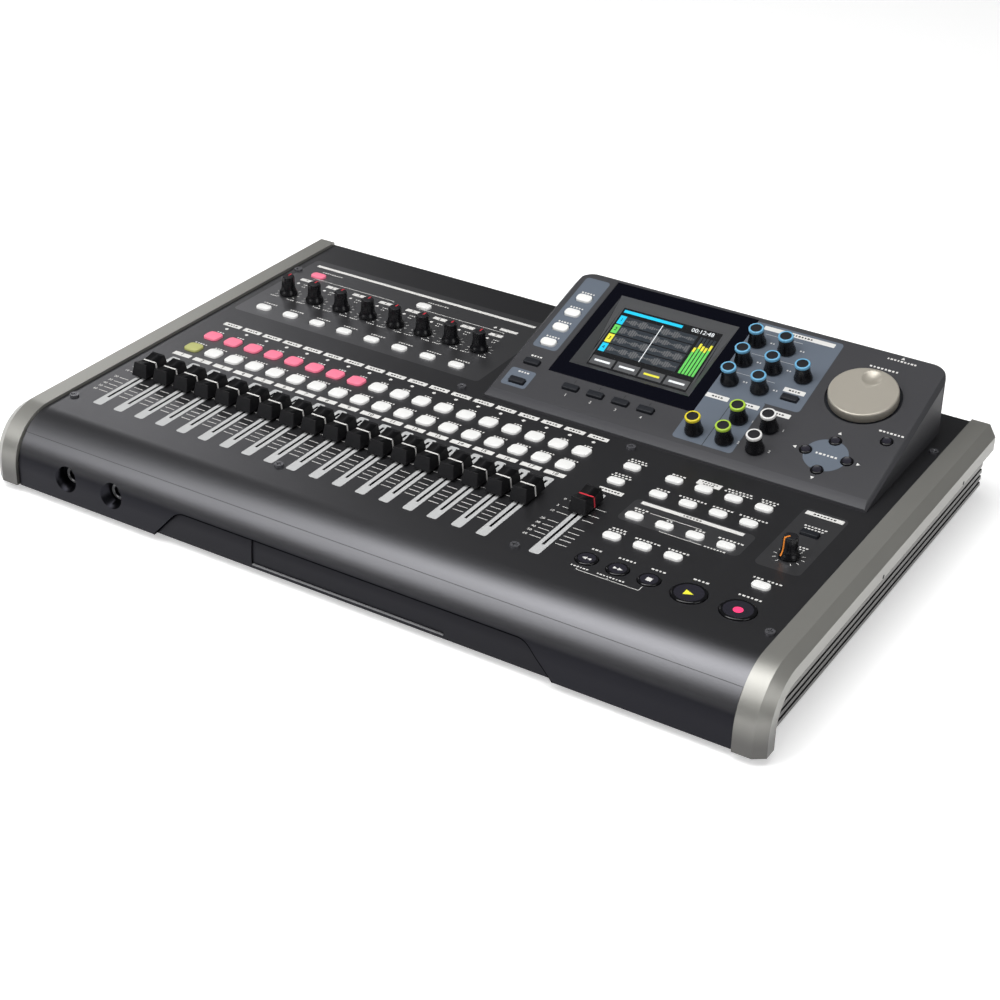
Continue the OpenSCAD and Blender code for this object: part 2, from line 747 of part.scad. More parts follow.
module front_bezel() {
    color(charcoal) difference() {
        union() {
            along_x(panel_w - 2 * bezel_gap) front_wall(0, bezel_t);
            intersection() {
                along_x(panel_w) union() {
                    translate([arc_y, arc_z]) circle(front_r);
                    translate([front_y, foot_h]) square([front_r, arc_z - foot_h]);
                }
                for (x = [phones_x, remote_x]) recess_cup(x, recess_wall);
            }
        }
        for (x = [phones_x, remote_x]) recess_cup(x, 0);
        for (x = [phones_x, remote_x]) translate([x, front_y, front_socket_z]) rotate([-90, 0, 0])
            cylinder(d = jack_bore, h = recess_depth + 3 * recess_wall);
        through_front() insert_shape(0);
    }
    color(black) difference() {
        intersection() {
            along_x(panel_w) front_wall(bezel_t + insert_gap, insert_t);
            through_front() insert_shape(insert_lap);
        }
        intersection() {
            along_x(2 * plate_half) front_wall(bezel_t + insert_gap - eps, plate_sink + eps);
            translate([0, 0, foot_h + plate_margin + (casing_h - insert_drop - 2 * plate_margin) / 2])
                cube([4 * plate_half, 2 * casing_d, casing_h - insert_drop - 2 * plate_margin],
                    center = true);
        }
    }
}

module pan_post(spot) {
    post_h = casing_h - sheet - pan_t;
    translate([spot.x, spot.y, foot_h + pan_t - eps]) difference() {
        cylinder(d = post_d, h = post_h + eps);
        translate([0, 0, post_h - screw_l]) cylinder(d = screw_d + 2 * screw_clear, h = screw_l + 1);
    }
}

module bottom_pan() {
    pan_front = front_y + bezel_t + insert_gap + insert_t;
    color(charcoal) {
        difference() {
            union() {
                translate([-panel_w / 2, pan_front, foot_h]) cube([panel_w, rear_y - pan_front, pan_t]);
                translate([-panel_w / 2, rear_y - pan_t, foot_h]) cube([panel_w, pan_t, casing_h - sheet]);
            }
            rear_holes();
        }
        for (s = screw_spots) pan_post(s);
        for (s = standoff_spots) translate([s.x, s.y, foot_h + pan_t - eps])
            cylinder(d = post_d, h = standoff_h + eps);
    }
}

module through_rear(x, z) {
    translate([x, rear_y + socket_proud, z]) rotate([90, 0, 0]) children();
}

module rear_slot(x, w, h, deep) {
    through_rear(x, rear_z) translate([0, 0, deep / 2])
        cube([w + 2 * socket_clear, h + 2 * socket_clear, deep], center = true);
}

module rear_bore(x, d, deep) {
    through_rear(x, rear_z) cylinder(d = d + 2 * socket_clear, h = deep);
}

module rear_holes() {
    deep = socket_proud + 2 * pan_t;
    for (j = [0 : input_count - 1]) rear_bore(combo_x(j), combo_d, deep);
    for (k = [0 : line_count - 1]) rear_bore(line_x(k), bush_d, deep);
    for (k = [0, 1]) rear_bore(midi_x(k), midi_d, deep);
    rear_slot(usb_x, usb_w, usb_h, deep);
    rear_slot(card_x, card_w, card_h, deep);
    rear_bore(standby_x, standby_d + key_clear, deep);
    rear_bore(inlet_x, inlet_d, deep);
}

module rim_section(lift) {
    polygon([[lift - rim_skirt, 0], [lift + rim_proud, 0], [lift + rim_proud, rim_flat],
        [lift + rim_proud - rim_bevel, cheek_w], [lift - rim_skirt, cheek_w]]);
}

function groove_z(k) = panel_z - rim_skirt - groove_pitch * (k + 1);

function groove_y(z) = arc_y + groove_margin
    - sqrt(pow(front_r - rim_skirt, 2) - pow(max(0, z - arc_z), 2));

module cheek() {
    difference() {
        union() {
            translate([panel_w / 2, arc_y, panel_z]) rotate([-90, -90, 0])
                linear_extrude(rear_y - arc_y) rim_section(0);
            translate([panel_w / 2, arc_y, arc_z]) rotate([90, 0, 90]) rotate([0, 0, 90])
                rotate_extrude(angle = 90) rim_section(front_r);
            translate([panel_w / 2, front_y, foot_h]) rotate([0, 0, 90]) mirror([0, 1, 0]) mirror([1, 0, 0])
                linear_extrude(arc_z - foot_h) rim_section(0);
            translate([panel_w / 2 + side_wall / 2, 0, 0]) along_x(side_wall) side_shape();
        }
        for (k = [0 : groove_count - 1])
            translate([panel_w / 2 + side_wall - groove_depth, groove_y(groove_z(k) + groove_h), groove_z(k)])
                cube([cheek_w, casing_d, groove_h]);
        translate([panel_w / 2 + cheek_w, rear_y, panel_z]) rotate([0, 0, 45])
            cube([sqrt(2) * cheek_chamfer, sqrt(2) * cheek_chamfer, 2 * casing_h], center = true);
    }
}

module side_shape() {
    translate([arc_y, foot_h]) square([rear_y - arc_y, casing_h - rim_skirt]);
    translate([front_y + rim_skirt - eps, foot_h]) square([front_r, arc_z - foot_h]);
    intersection() {
        translate([arc_y, arc_z]) circle(front_r - rim_skirt + eps);
        translate([front_y, arc_z - eps]) square([front_r + eps, front_r]);
    }
}

module side_cheeks() {
    color(silver) {
        cheek();
        mirror([1, 0, 0]) cheek();
    }
}

// Console
module console_plan(inset) {
    w = console_w - 2 * inset;
    d = console_d - 2 * inset;
    r = max(console_corner - inset, 1);
    translate([console_x + inset, console_y + inset]) {
        square([w, d - r]);
        translate([r, 0]) square([w - 2 * r, d]);
        for (x = [r, w - r]) translate([x, d - r]) circle(r);
    }
}

function face_z(y) = panel_z + console_lip + (y - console_y) * tan(console_tilt);

module console_body() {
    bevel_y = console_y + console_bevel * cos(console_tilt);
    back_y = console_y + console_d;
    intersection() {
        translate([console_x + console_w / 2, 0, 0]) along_x(console_w)
            polygon([[console_y, panel_z], [console_y, panel_z + console_edge], [bevel_y, face_z(bevel_y)],
                [back_y, face_z(back_y)], [back_y, panel_z]]);
        linear_extrude(3 * panel_z) console_plan(0);
    }
}

module console_hollow() {
    front = console_y + console_wall;
    back = console_y + console_d - console_wall;
    drop = console_wall / cos(console_tilt);
    intersection() {
        translate([console_x + console_w / 2, 0, 0]) along_x(console_w - 2 * console_wall)
            polygon([[front, panel_z - 1], [front, face_z(front) - drop], [back, face_z(back) - drop],
                [back, panel_z - 1]]);
        linear_extrude(3 * panel_z) console_plan(console_wall);
    }
}

module face_holes() {
    for (s = page_spots) key_hole(s, edit_key_w, edit_key_l, edit_key_r);
    for (s = soft_spots) key_hole(s, soft_key_w, soft_key_l, soft_key_r);
    for (s = cursor_spots) translate(s) circle(d = cursor_d + 2 * key_clear);
    for (s = encoder_spots) translate(s) circle(d = shaft_d + 2 * shaft_clear);
    translate(jog_spot) circle(d = shaft_d + 2 * shaft_clear);
    translate(display_middle)
        square([display_w + 2 * display_clear, display_l + 2 * display_clear], center = true);
}

module console_housing() {
    hole_depth = console_wall + flange_t + display_clear;
    color(charcoal) difference() {
        console_body();
        console_hollow();
        on_console() translate([0, 0, -hole_depth]) linear_extrude(2 * hole_depth) face_holes();
        on_console() translate([jog_spot.x, jog_spot.y, -jog_sink])
            cylinder(d = jog_d + 2 * jog_ring, h = 2 * console_wall);
        for (u = [0, console_w]) on_console() translate([u, console_len / 2, 0]) rotate([0, 45, 0])
            cube([sqrt(2) * console_chamfer, 2 * console_len, sqrt(2) * console_chamfer], center = true);
    }
}

// Display: a flush frame with a sloping window, and the screen module behind it
module on_picture(depth) {
    translate([display_middle.x, display_middle.y, -picture_depth]) rotate([picture_tilt, 0, 0])
        translate([0, 0, depth]) children();
}

module display_unit() {
    on_console() {
        color(black) difference() {
            union() {
                translate([display_middle.x, display_middle.y, -console_wall / 2])
                    cube([display_w, display_l, console_wall], center = true);
                translate([display_u - display_lap, display_v - display_lap, -console_wall - flange_t])
                    cube([display_w + 2 * display_lap, display_l + display_lap, flange_t]);
                translate([display_middle.x, display_middle.y, -(holder_depth + console_wall) / 2])
                    cube([window_w + 2 * holder_border, window_l + 2 * holder_border,
                        holder_depth - console_wall], center = true);
            }
            hull() {
                translate([display_middle.x, display_middle.y, skin / 2])
                    cube([window_w, window_l, skin], center = true);
                on_picture(0) cube([picture_w, picture_l, skin], center = true);
            }
            on_picture(-holder_depth / 2) cube([picture_w + 2 * screen_border + 2 * display_clear,
                picture_l + 2 * screen_border + 2 * display_clear, holder_depth], center = true);
        }
        color([0.05, 0.3, 0.38]) on_picture(-screen_t / 2 - skin)
            cube([picture_w + 2 * screen_border, picture_l + 2 * screen_border, screen_t], center = true);
    }
}

// Faders
module fader_cap() {
    base = panel_z + cap_gap;
    difference() {
        intersection() {
            along_x(cap_w) polygon([[-cap_l / 2, base], [cap_l / 2, base],
                [cap_l / 2 - cap_rake, base + cap_h], [-cap_l / 2 + cap_rake, base + cap_h]]);
            rotate([90, 0, 0]) linear_extrude(cap_l, center = true)
                polygon([[-cap_w / 2, base], [cap_w / 2, base], [cap_w / 2 - cap_taper, base + cap_h],
                    [-cap_w / 2 + cap_taper, base + cap_h]]);
        }
        translate([0, 0, base + cap_h - cap_hollow + cap_hollow_r]) rotate([0, 90, 0])
            cylinder(r = cap_hollow_r, h = 2 * cap_w, center = true);
    }
    translate([-lever_t / 2, -lever_l / 2, panel_z - sheet - lever_depth])
        cube([lever_t, lever_l, sheet + lever_depth + cap_gap + eps]);
}

module channel_fader(i) {
    color(black) translate([channel_x(i), from_front(fader_f), 0]) fader_cap();
}

module master_fader() {
    color(black) translate([master_x, from_front(master_f), 0]) fader_cap();
}

module slide_pots() {
    color(steel) for (x = fader_x) difference() {
        translate([x - slide_pot_w / 2, slot_front - slide_pot_end, panel_z - sheet - slide_pot_h])
            cube([slide_pot_w, slot_len + 2 * slide_pot_end, slide_pot_h]);
        translate([x - slot_w / 2, slot_front, panel_z - sheet - lever_depth - lever_clear])
            cube([slot_w, slot_len, lever_depth + 2 * lever_clear]);
    }
}

// Knobs, standing on the surface at z = 0, each with its shaft in the wall and body below
module trim_body() {
    top = trim_top_d / 2;
    rotate_extrude() polygon([[0, knob_gap], [trim_base_d / 2, knob_gap],
        [trim_base_d / 2, knob_gap + trim_foot], [top + trim_waist, knob_gap + trim_flare],
        [top, trim_h - knob_edge], [top - knob_edge, trim_h], [0, trim_h]]);
}

module encoder_body() {
    top = encoder_top_d / 2;
    rotate_extrude() polygon([[0, knob_gap], [encoder_base_d / 2, knob_gap],
        [encoder_base_d / 2, knob_gap + encoder_foot], [top - encoder_waist, knob_gap + encoder_flare],
        [top, encoder_h - knob_edge], [top - knob_edge, encoder_h], [0, encoder_h]]);
}

module shaft(wall) {
    translate([0, 0, -wall - shaft_down])
        cylinder(d = shaft_d, h = wall + shaft_down + knob_gap + shaft_grip);
}

module pot_body(wall) {
    size = shaft_d + 2 * pot_wall;
    translate([0, 0, -wall - board_drop]) difference() {
        translate([-size / 2, -size / 2, 0]) cube([size, size, board_drop]);
        translate([0, 0, board_drop - shaft_down - shaft_end])
            cylinder(d = shaft_d + 2 * shaft_clear, h = board_drop);
    }
}

module trim_knob(j) {
    color(black) translate([trim_spots[j].x, trim_spots[j].y, panel_z]) {
        trim_body();
        shaft(sheet);
    }
}

module monitor_knob() {
    color(black) translate([monitor_spot.x, monitor_spot.y, panel_z]) {
        trim_body();
        shaft(sheet);
    }
}

module encoder(k) {
    color(black) on_console() translate([encoder_spots[k].x, encoder_spots[k].y, 0]) {
        encoder_body();
        shaft(console_wall);
    }
}

module jog_wheel() {
    low = knob_gap - jog_sink;
    ball = (dimple_d * dimple_d / 4 + dimple_depth * dimple_depth) / (2 * dimple_depth);
    color(silver) on_console() translate([jog_spot.x, jog_spot.y, 0]) {
        difference() {
            rotate_extrude() polygon([[0, low], [jog_d / 2, low], [jog_d / 2, jog_h - jog_edge],
                [jog_d / 2 - jog_edge, jog_h], [0, jog_h]]);
            translate([0, dimple_r, jog_h - dimple_depth + ball]) sphere(ball);
        }
        shaft(console_wall);
    }
}

module rotary_controls() {
    color(steel) {
        for (s = concat(trim_spots, [monitor_spot])) translate([s.x, s.y, panel_z]) pot_body(sheet);
        on_console() for (s = concat(encoder_spots, [jog_spot])) translate([s.x, s.y, 0])
            pot_body(console_wall);
    }
}

// Keys
module on_panel(spots) {
    for (s = spots) translate([s.x, s.y, panel_z]) children();
}

module record_keys() {
    color(lit_pink) on_panel(record_spots)
        plate_key(channel_key_w, channel_key_l, channel_key_r, key_proud, sheet);
}

module select_keys() {
    color(lit_white) on_panel(select_spots)
        plate_key(channel_key_w, channel_key_l, channel_key_r, key_proud, sheet);
}

module input_keys() {
    color(lit_white) on_panel(input_spots) plate_key(edit_key_w, edit_key_l, edit_key_r, key_proud, sheet);
}

module edit_keys() {
    color(lit_white) on_panel(edit_spots) plate_key(edit_key_w, edit_key_l, edit_key_r, key_proud, sheet);
    color(black) on_panel([monitor_key_spot])
        plate_key(soft_key_w, soft_key_l, soft_key_r, soft_key_proud, sheet);
}

module transport_keys() {
    color(black) on_panel(small_transport_spots) round_key(small_transport_d, key_proud, sheet);
    color(black) on_panel(large_transport_spots) round_key(large_transport_d, key_proud, sheet);
}

module console_keys() {
    on_console() {
        color(lit_white) for (s = page_spots) translate([s.x, s.y, 0])
            plate_key(edit_key_w, edit_key_l, edit_key_r, key_proud, console_wall);
        color(black) for (s = soft_spots) translate([s.x, s.y, 0])
            plate_key(soft_key_w, soft_key_l, soft_key_r, soft_key_proud, console_wall);
        color(black) for (s = cursor_spots) translate([s.x, s.y, 0])
            round_key(cursor_d, soft_key_proud, console_wall);
    }
}

// Circuit boards, each with its key switches, and the main board on the pan
module key_switch() {
    translate([-switch_w / 2, -switch_w / 2, -eps]) cube([switch_w, switch_w, switch_h - switch_stem]);
    cylinder(d = plunger_d, h = switch_h);
}

module key_board(left, right, front, back, spots) {
    top = panel_z - sheet - board_drop;
    translate([left, front, top - board_t]) cube([right - left, back - front, board_t]);
    for (s = spots) translate([s.x, s.y, top]) key_switch();
    for (x = [left + spacer_inset, right - spacer_inset], y = [front + spacer_inset, back - spacer_inset])
        translate([x, y, top - eps]) cylinder(d = spacer_d, h = board_drop + eps);
}

module console_board() {
    top = -(console_wall + board_drop);
    front = home_v - switch_w;
    difference() {
        translate([console_board_inset, front, top - board_t])
            cube([console_w - 2 * console_board_inset, console_len - front - console_corner, board_t]);
        translate([display_u - flange_lap, display_v - flange_lap, top - 2 * board_t])
            cube([display_w + 2 * flange_lap, console_len, 4 * board_t]);
    }
    for (s = concat(page_spots, soft_spots, cursor_spots)) translate([s.x, s.y, top]) key_switch();
}

module circuit_boards() {
    last_channel = channel_x(channel_count - 1);
    key_front = from_front(select_row) - board_edge;
    key_back = from_front(record_row) + board_edge;
    color(board_green) {
        key_board(channel_x(0) - board_edge, last_channel + board_edge, key_front, channel_board_back,
            concat(select_spots, record_spots));
        key_board(master_x - master_board_half, master_x + master_board_half, key_front, key_back,
            [for (s = edit_spots) if (s.x < edit_x(0) - 1) s]);
        key_board(edit_x(0) - board_edge, monitor_x + transport_edge,
            from_front(transport_f) - transport_edge, key_back,
            concat([for (s = edit_spots) if (s.x > edit_x(0) - 1) s], small_transport_spots,
                large_transport_spots, [monitor_key_spot]));
        key_board(board_left, input_x(input_count - 1) + board_edge,
            from_front(source_row) - board_edge, input_board_back, input_spots);
        on_console() console_board();
        translate([-main_half, main_front, foot_h + pan_t + standoff_h])
            cube([2 * main_half, main_back - main_front, board_t]);
        standby_switch();
    }
}

// Switch block behind the standby button, standing on the pan
module standby_switch() {
    depth = switch_w;
    back = rear_y - pan_t - standby_guide - standby_travel - press_gap;
    translate([standby_x - standby_d / 2, back - depth, foot_h + pan_t])
        cube([standby_d, depth, rear_z + standby_d / 2 - foot_h - pan_t]);
}

// Sockets, seen from outside: z = 0 at their outermost face, +z into the casing
module large_jack(depth) {
    difference() {
        union() {
            translate([-socket_body / 2, -socket_body / 2, socket_proud + pan_t])
                cube([socket_body, socket_body, depth]);
            cylinder(d = bush_d, h = socket_proud + pan_t + eps);
            cylinder(d = nut_d, h = socket_proud - socket_clear, $fn = 6);
        }
        translate([0, 0, -1]) cylinder(d = jack_bore, h = depth + 1);
    }
}

module combo_socket() {
    flange = [combo_d + 2 * flange_lap, combo_d + 4 * flange_lap, 2 * flange_t];
    difference() {
        union() {
            translate([0, 0, socket_lip]) cylinder(d = combo_d, h = combo_len);
            translate([-flange.x / 2, -flange.y / 2, socket_proud + pan_t]) cube(flange);
        }
        translate([0, 0, -1]) cylinder(d = jack_bore, h = jack_depth + 1);
        for (a = [90, 210, 330]) rotate([0, 0, a]) translate([combo_pin_r, 0, -1])
            cylinder(d = combo_pin_d, h = pin_depth);
    }
}

module data_socket() {
    side = midi_d + 2 * flange_lap;
    difference() {
        union() {
            translate([0, 0, socket_lip]) cylinder(d = midi_d, h = midi_len);
            translate([-side / 2, -side / 2, socket_proud + pan_t]) cube([side, side, flange_t]);
        }
        for (a = [0 : 45 : 180]) rotate([0, 0, a]) translate([midi_pin_r, 0, -1])
            cylinder(d = midi_pin_d, h = pin_depth);
    }
}

module computer_socket() {
    difference() {
        translate([-usb_w / 2, -usb_h / 2, socket_lip]) cube([usb_w, usb_h, usb_len]);
        translate([-usb_w / 2 + usb_wall, -usb_h / 2 + usb_wall, -1])
            cube([usb_w - 2 * usb_wall, usb_h - 2 * usb_wall, pin_depth]);
    }
    translate([-usb_tongue.x / 2, -usb_tongue.y / 2, socket_proud]) cube(usb_tongue);
}

module card_slot() {
    difference() {
        translate([-card_w / 2, -card_h / 2, socket_proud]) cube([card_w, card_h, card_len]);
        translate([-card_w / 2 + card_wall, -card_h / 2 + card_wall, 0])
            cube([card_w - 2 * card_wall, card_h - 2 * card_wall, card_len]);
    }
}

module power_inlet() {
    difference() {
        union() {
            translate([0, 0, socket_lip]) cylinder(d = inlet_d, h = socket_proud + pan_t);
            translate([-inlet_w / 2, -inlet_w / 2, socket_proud + pan_t]) cube([inlet_w, inlet_w, inlet_len]);
        }
        translate([0, 0, -1]) cylinder(d = inlet_bore, h = pin_depth);
    }
    translate([0, 0, socket_proud]) cylinder(d = inlet_pin_d, h = pin_depth);
}

module front_jack(bore, x) {
    translate([x, front_y + recess_depth + recess_wall, front_socket_z]) rotate([-90, 0, 0]) difference() {
        translate([-socket_body / 2, -socket_body / 2, 0])
            cube([socket_body, socket_body, jack_depth + recess_wall]);
        translate([0, 0, -1]) cylinder(d = bore, h = jack_depth + 1);
    }
}

module sockets() {
    color(black) {
        for (j = [0 : input_count - 1]) through_rear(combo_x(j), rear_z) combo_socket();
        for (k = [0 : line_count - 1]) through_rear(line_x(k), rear_z) large_jack(jack_depth);
        for (k = [0, 1]) through_rear(midi_x(k), rear_z) data_socket();
        through_rear(usb_x, rear_z) computer_socket();
        through_rear(card_x, rear_z) card_slot();
        through_rear(inlet_x, rear_z) power_inlet();
        front_jack(jack_bore, phones_x);
        front_jack(remote_bore, remote_x);
    }
}

module standby_button() {
    color(black) through_rear(standby_x, rear_z) {
        cylinder(d = standby_d, h = socket_proud + pan_t + flange_gap + eps);
        translate([0, 0, socket_proud + pan_t + flange_gap]) cylinder(d = standby_flange_d, h = flange_t);
        cylinder(d = plunger_d, h = socket_proud + pan_t + standby_guide);
    }
}

// Fixings
module screws() {
    color(steel) for (s = screw_spots) translate([s.x, s.y, panel_z]) {
        difference() {
            cylinder(d = screw_head_d, h = screw_head_h);
            for (a = [0, 90]) rotate([0, 0, a]) translate([0, 0, screw_head_h])
                cube([cross_l, cross_w, screw_head_h], center = true);
        }
        translate([0, 0, -screw_l]) cylinder(d = screw_d, h = screw_l + eps);
    }
}

module feet() {
    x = panel_w / 2 - foot_inset;
    color(rubber) for (sx = [-x, x], y = [front_y + foot_inset, rear_y - foot_inset])
        translate([sx, y, 0]) cylinder(d = foot_d, h = foot_h);
}

bottom_pan();
top_panel();
front_bezel();
side_cheeks();
console_housing();
display_unit();
slide_pots();
rotary_controls();
circuit_boards();
sockets();
screws();
feet();
record_keys();
select_keys();
input_keys();
edit_keys();
transport_keys();
console_keys();
standby_button();
monitor_knob();
jog_wheel();
master_fader();
for (i = [0 : channel_count - 1])
    channel_fader(i);
for (j = [0 : input_count - 1])
    trim_knob(j);
for (k = [0 : len(encoder_names) - 1])
    encoder(k);
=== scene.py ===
"""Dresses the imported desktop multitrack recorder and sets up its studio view.

Sizes are in millimetres in the frame that the parts share. Meshes are written in metres.
"""

import logging
import math
from dataclasses import dataclass, field, replace
from enum import Enum
from typing import Callable, Optional, Sequence, Union

import bmesh
import bpy
from mathutils import Matrix, Vector


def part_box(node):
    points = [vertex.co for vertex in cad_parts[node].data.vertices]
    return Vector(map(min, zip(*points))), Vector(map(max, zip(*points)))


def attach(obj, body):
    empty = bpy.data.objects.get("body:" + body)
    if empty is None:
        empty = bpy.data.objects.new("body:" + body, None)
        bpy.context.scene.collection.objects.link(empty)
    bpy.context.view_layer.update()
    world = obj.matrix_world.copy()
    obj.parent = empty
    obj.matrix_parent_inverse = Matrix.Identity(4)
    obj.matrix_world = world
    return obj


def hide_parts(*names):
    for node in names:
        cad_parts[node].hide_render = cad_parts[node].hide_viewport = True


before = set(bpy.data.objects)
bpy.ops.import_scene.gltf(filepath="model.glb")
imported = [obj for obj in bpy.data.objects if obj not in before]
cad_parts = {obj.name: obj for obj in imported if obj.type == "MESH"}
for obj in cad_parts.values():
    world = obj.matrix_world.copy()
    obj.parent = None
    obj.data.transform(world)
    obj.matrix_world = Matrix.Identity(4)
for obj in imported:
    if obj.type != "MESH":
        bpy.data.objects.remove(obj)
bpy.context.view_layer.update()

LOG = logging.getLogger("recorder")
MM = 0.001
CHASSIS = "chassis"

Point = tuple[float, float]
Triple = tuple[float, float, float]
Outline = list[Point]
Floats = tuple[float, ...]
Pair = tuple[Point, Point]
Paths = tuple[tuple[Point, ...], ...]
Words = tuple[tuple[Point, int, float], ...]
Rays = tuple[tuple[str, float], ...]
Tree = bpy.types.NodeTree
Socket = bpy.types.NodeSocket


class Grain(Enum):
    """Fineness of a finish's surface texture, as noise cells per metre."""

    FINE = 2600.0
    PEBBLE = 1500.0
    SATIN = 700.0
    DRIFT = 18.0


class Way(Enum):
    """Direction that a symbol points to, as degrees from the plane's first axis."""

    RIGHT = 0.0
    REAR = 90.0
    LEFT = 180.0
    FRONT = 270.0


@dataclass(frozen=True)
class Plane:
    """A working surface: its first axis runs along X, its second rises to the rear by the tilt.

    Attributes:
        origin: Point of the frame where the plane starts.
        tilt: Slope about the X axis in degrees.
        turn: Turn about the Z axis after the tilt, in degrees.
    """

    origin: Triple
    tilt: float = 0.0
    turn: float = 0.0

    def axes(self) -> Matrix:
        """Gives the rotation from the plane's axes to the frame's."""
        tilt = Matrix.Rotation(math.radians(self.tilt), 3, "X")
        return Matrix.Rotation(math.radians(self.turn), 3, "Z") @ tilt

    def normal(self) -> Vector:
        """Gives the direction that the plane faces."""
        return self.axes() @ Vector((0.0, 0.0, 1.0))

    def at(self, a: float, b: float, h: float = 0.0) -> Vector:
        """Maps a place on the plane to the frame.

        Args:
            a: Distance along the first axis.
            b: Distance along the second axis.
            h: Height above the plane.

        Returns:
            The point in metres.
        """
        return (Vector(self.origin) + self.axes() @ Vector((a, b, h))) * MM


def corner(node: str, high: bool = False) -> Vector:
    """Gives the low or the high corner of a CAD node's box in millimetres."""
    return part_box(node)[high] / MM


FRONT_Y = corner("front_bezel").y
REAR_Y = corner("bottom_pan", True).y
SIDE_X = corner("side_cheeks", True).x
PANEL_Z = corner("top_panel", True).z
CONSOLE_X, CONSOLE_Y = corner("console_housing").xy
CONSOLE_LIP = 3.0
ROLL_R = 30.0
ROLL_Y, ROLL_Z = FRONT_Y + ROLL_R, PANEL_Z - ROLL_R
PICTURE_AT = (78.0, 79.4)
PICTURE_SINK = 3.5
PANEL = Plane((0.0, FRONT_Y, PANEL_Z))
CONSOLE = Plane((CONSOLE_X, CONSOLE_Y, PANEL_Z + CONSOLE_LIP), 16.7)
SCREEN = Plane(tuple(CONSOLE.at(*PICTURE_AT, -PICTURE_SINK) / MM), 22.1)
FRONT = Plane((0.0, FRONT_Y, 20.0), 90.0)
REAR = Plane((0.0, REAR_Y, 25.5), 90.0, 180.0)
SIDE = Plane((SIDE_X, 0.0, 0.0), 90.0, 90.0)

FIELD_REACH = 0.4
FIELD_STEEP = 50.0
NOISE_DETAIL = 3.0
ROUGH_SPREAD = 0.07
ROUGH_LEAST = 0.02
BUMP_DEPTH = 0.0002


@dataclass(frozen=True)
class Field:
    """A rounded rectangle of another tone on a painted plane.

    Attributes:
        low: Front left corner.
        high: Rear right corner.
        r: Corner radius.
        rgb: Tone in 8-bit steps.
    """

    low: Point
    high: Point
    r: float
    rgb: Triple


def linear(rgb: Triple, gain: float = 1.0) -> tuple[float, float, float, float]:
    """Turns an 8-bit display colour into a scene-linear one.

    Args:
        rgb: Colour in 8-bit steps.
        gain: Factor on the linear values.

    Returns:
        Red, green, blue and alpha for a colour socket.
    """
    def one(value: float) -> float:
        """Converts one channel."""
        share = value / 255.0
        return min(gain * (share / 12.92 if share <= 0.04045 else ((share + 0.055) / 1.055) ** 2.4), 1.0)
    return one(rgb[0]), one(rgb[1]), one(rgb[2]), 1.0


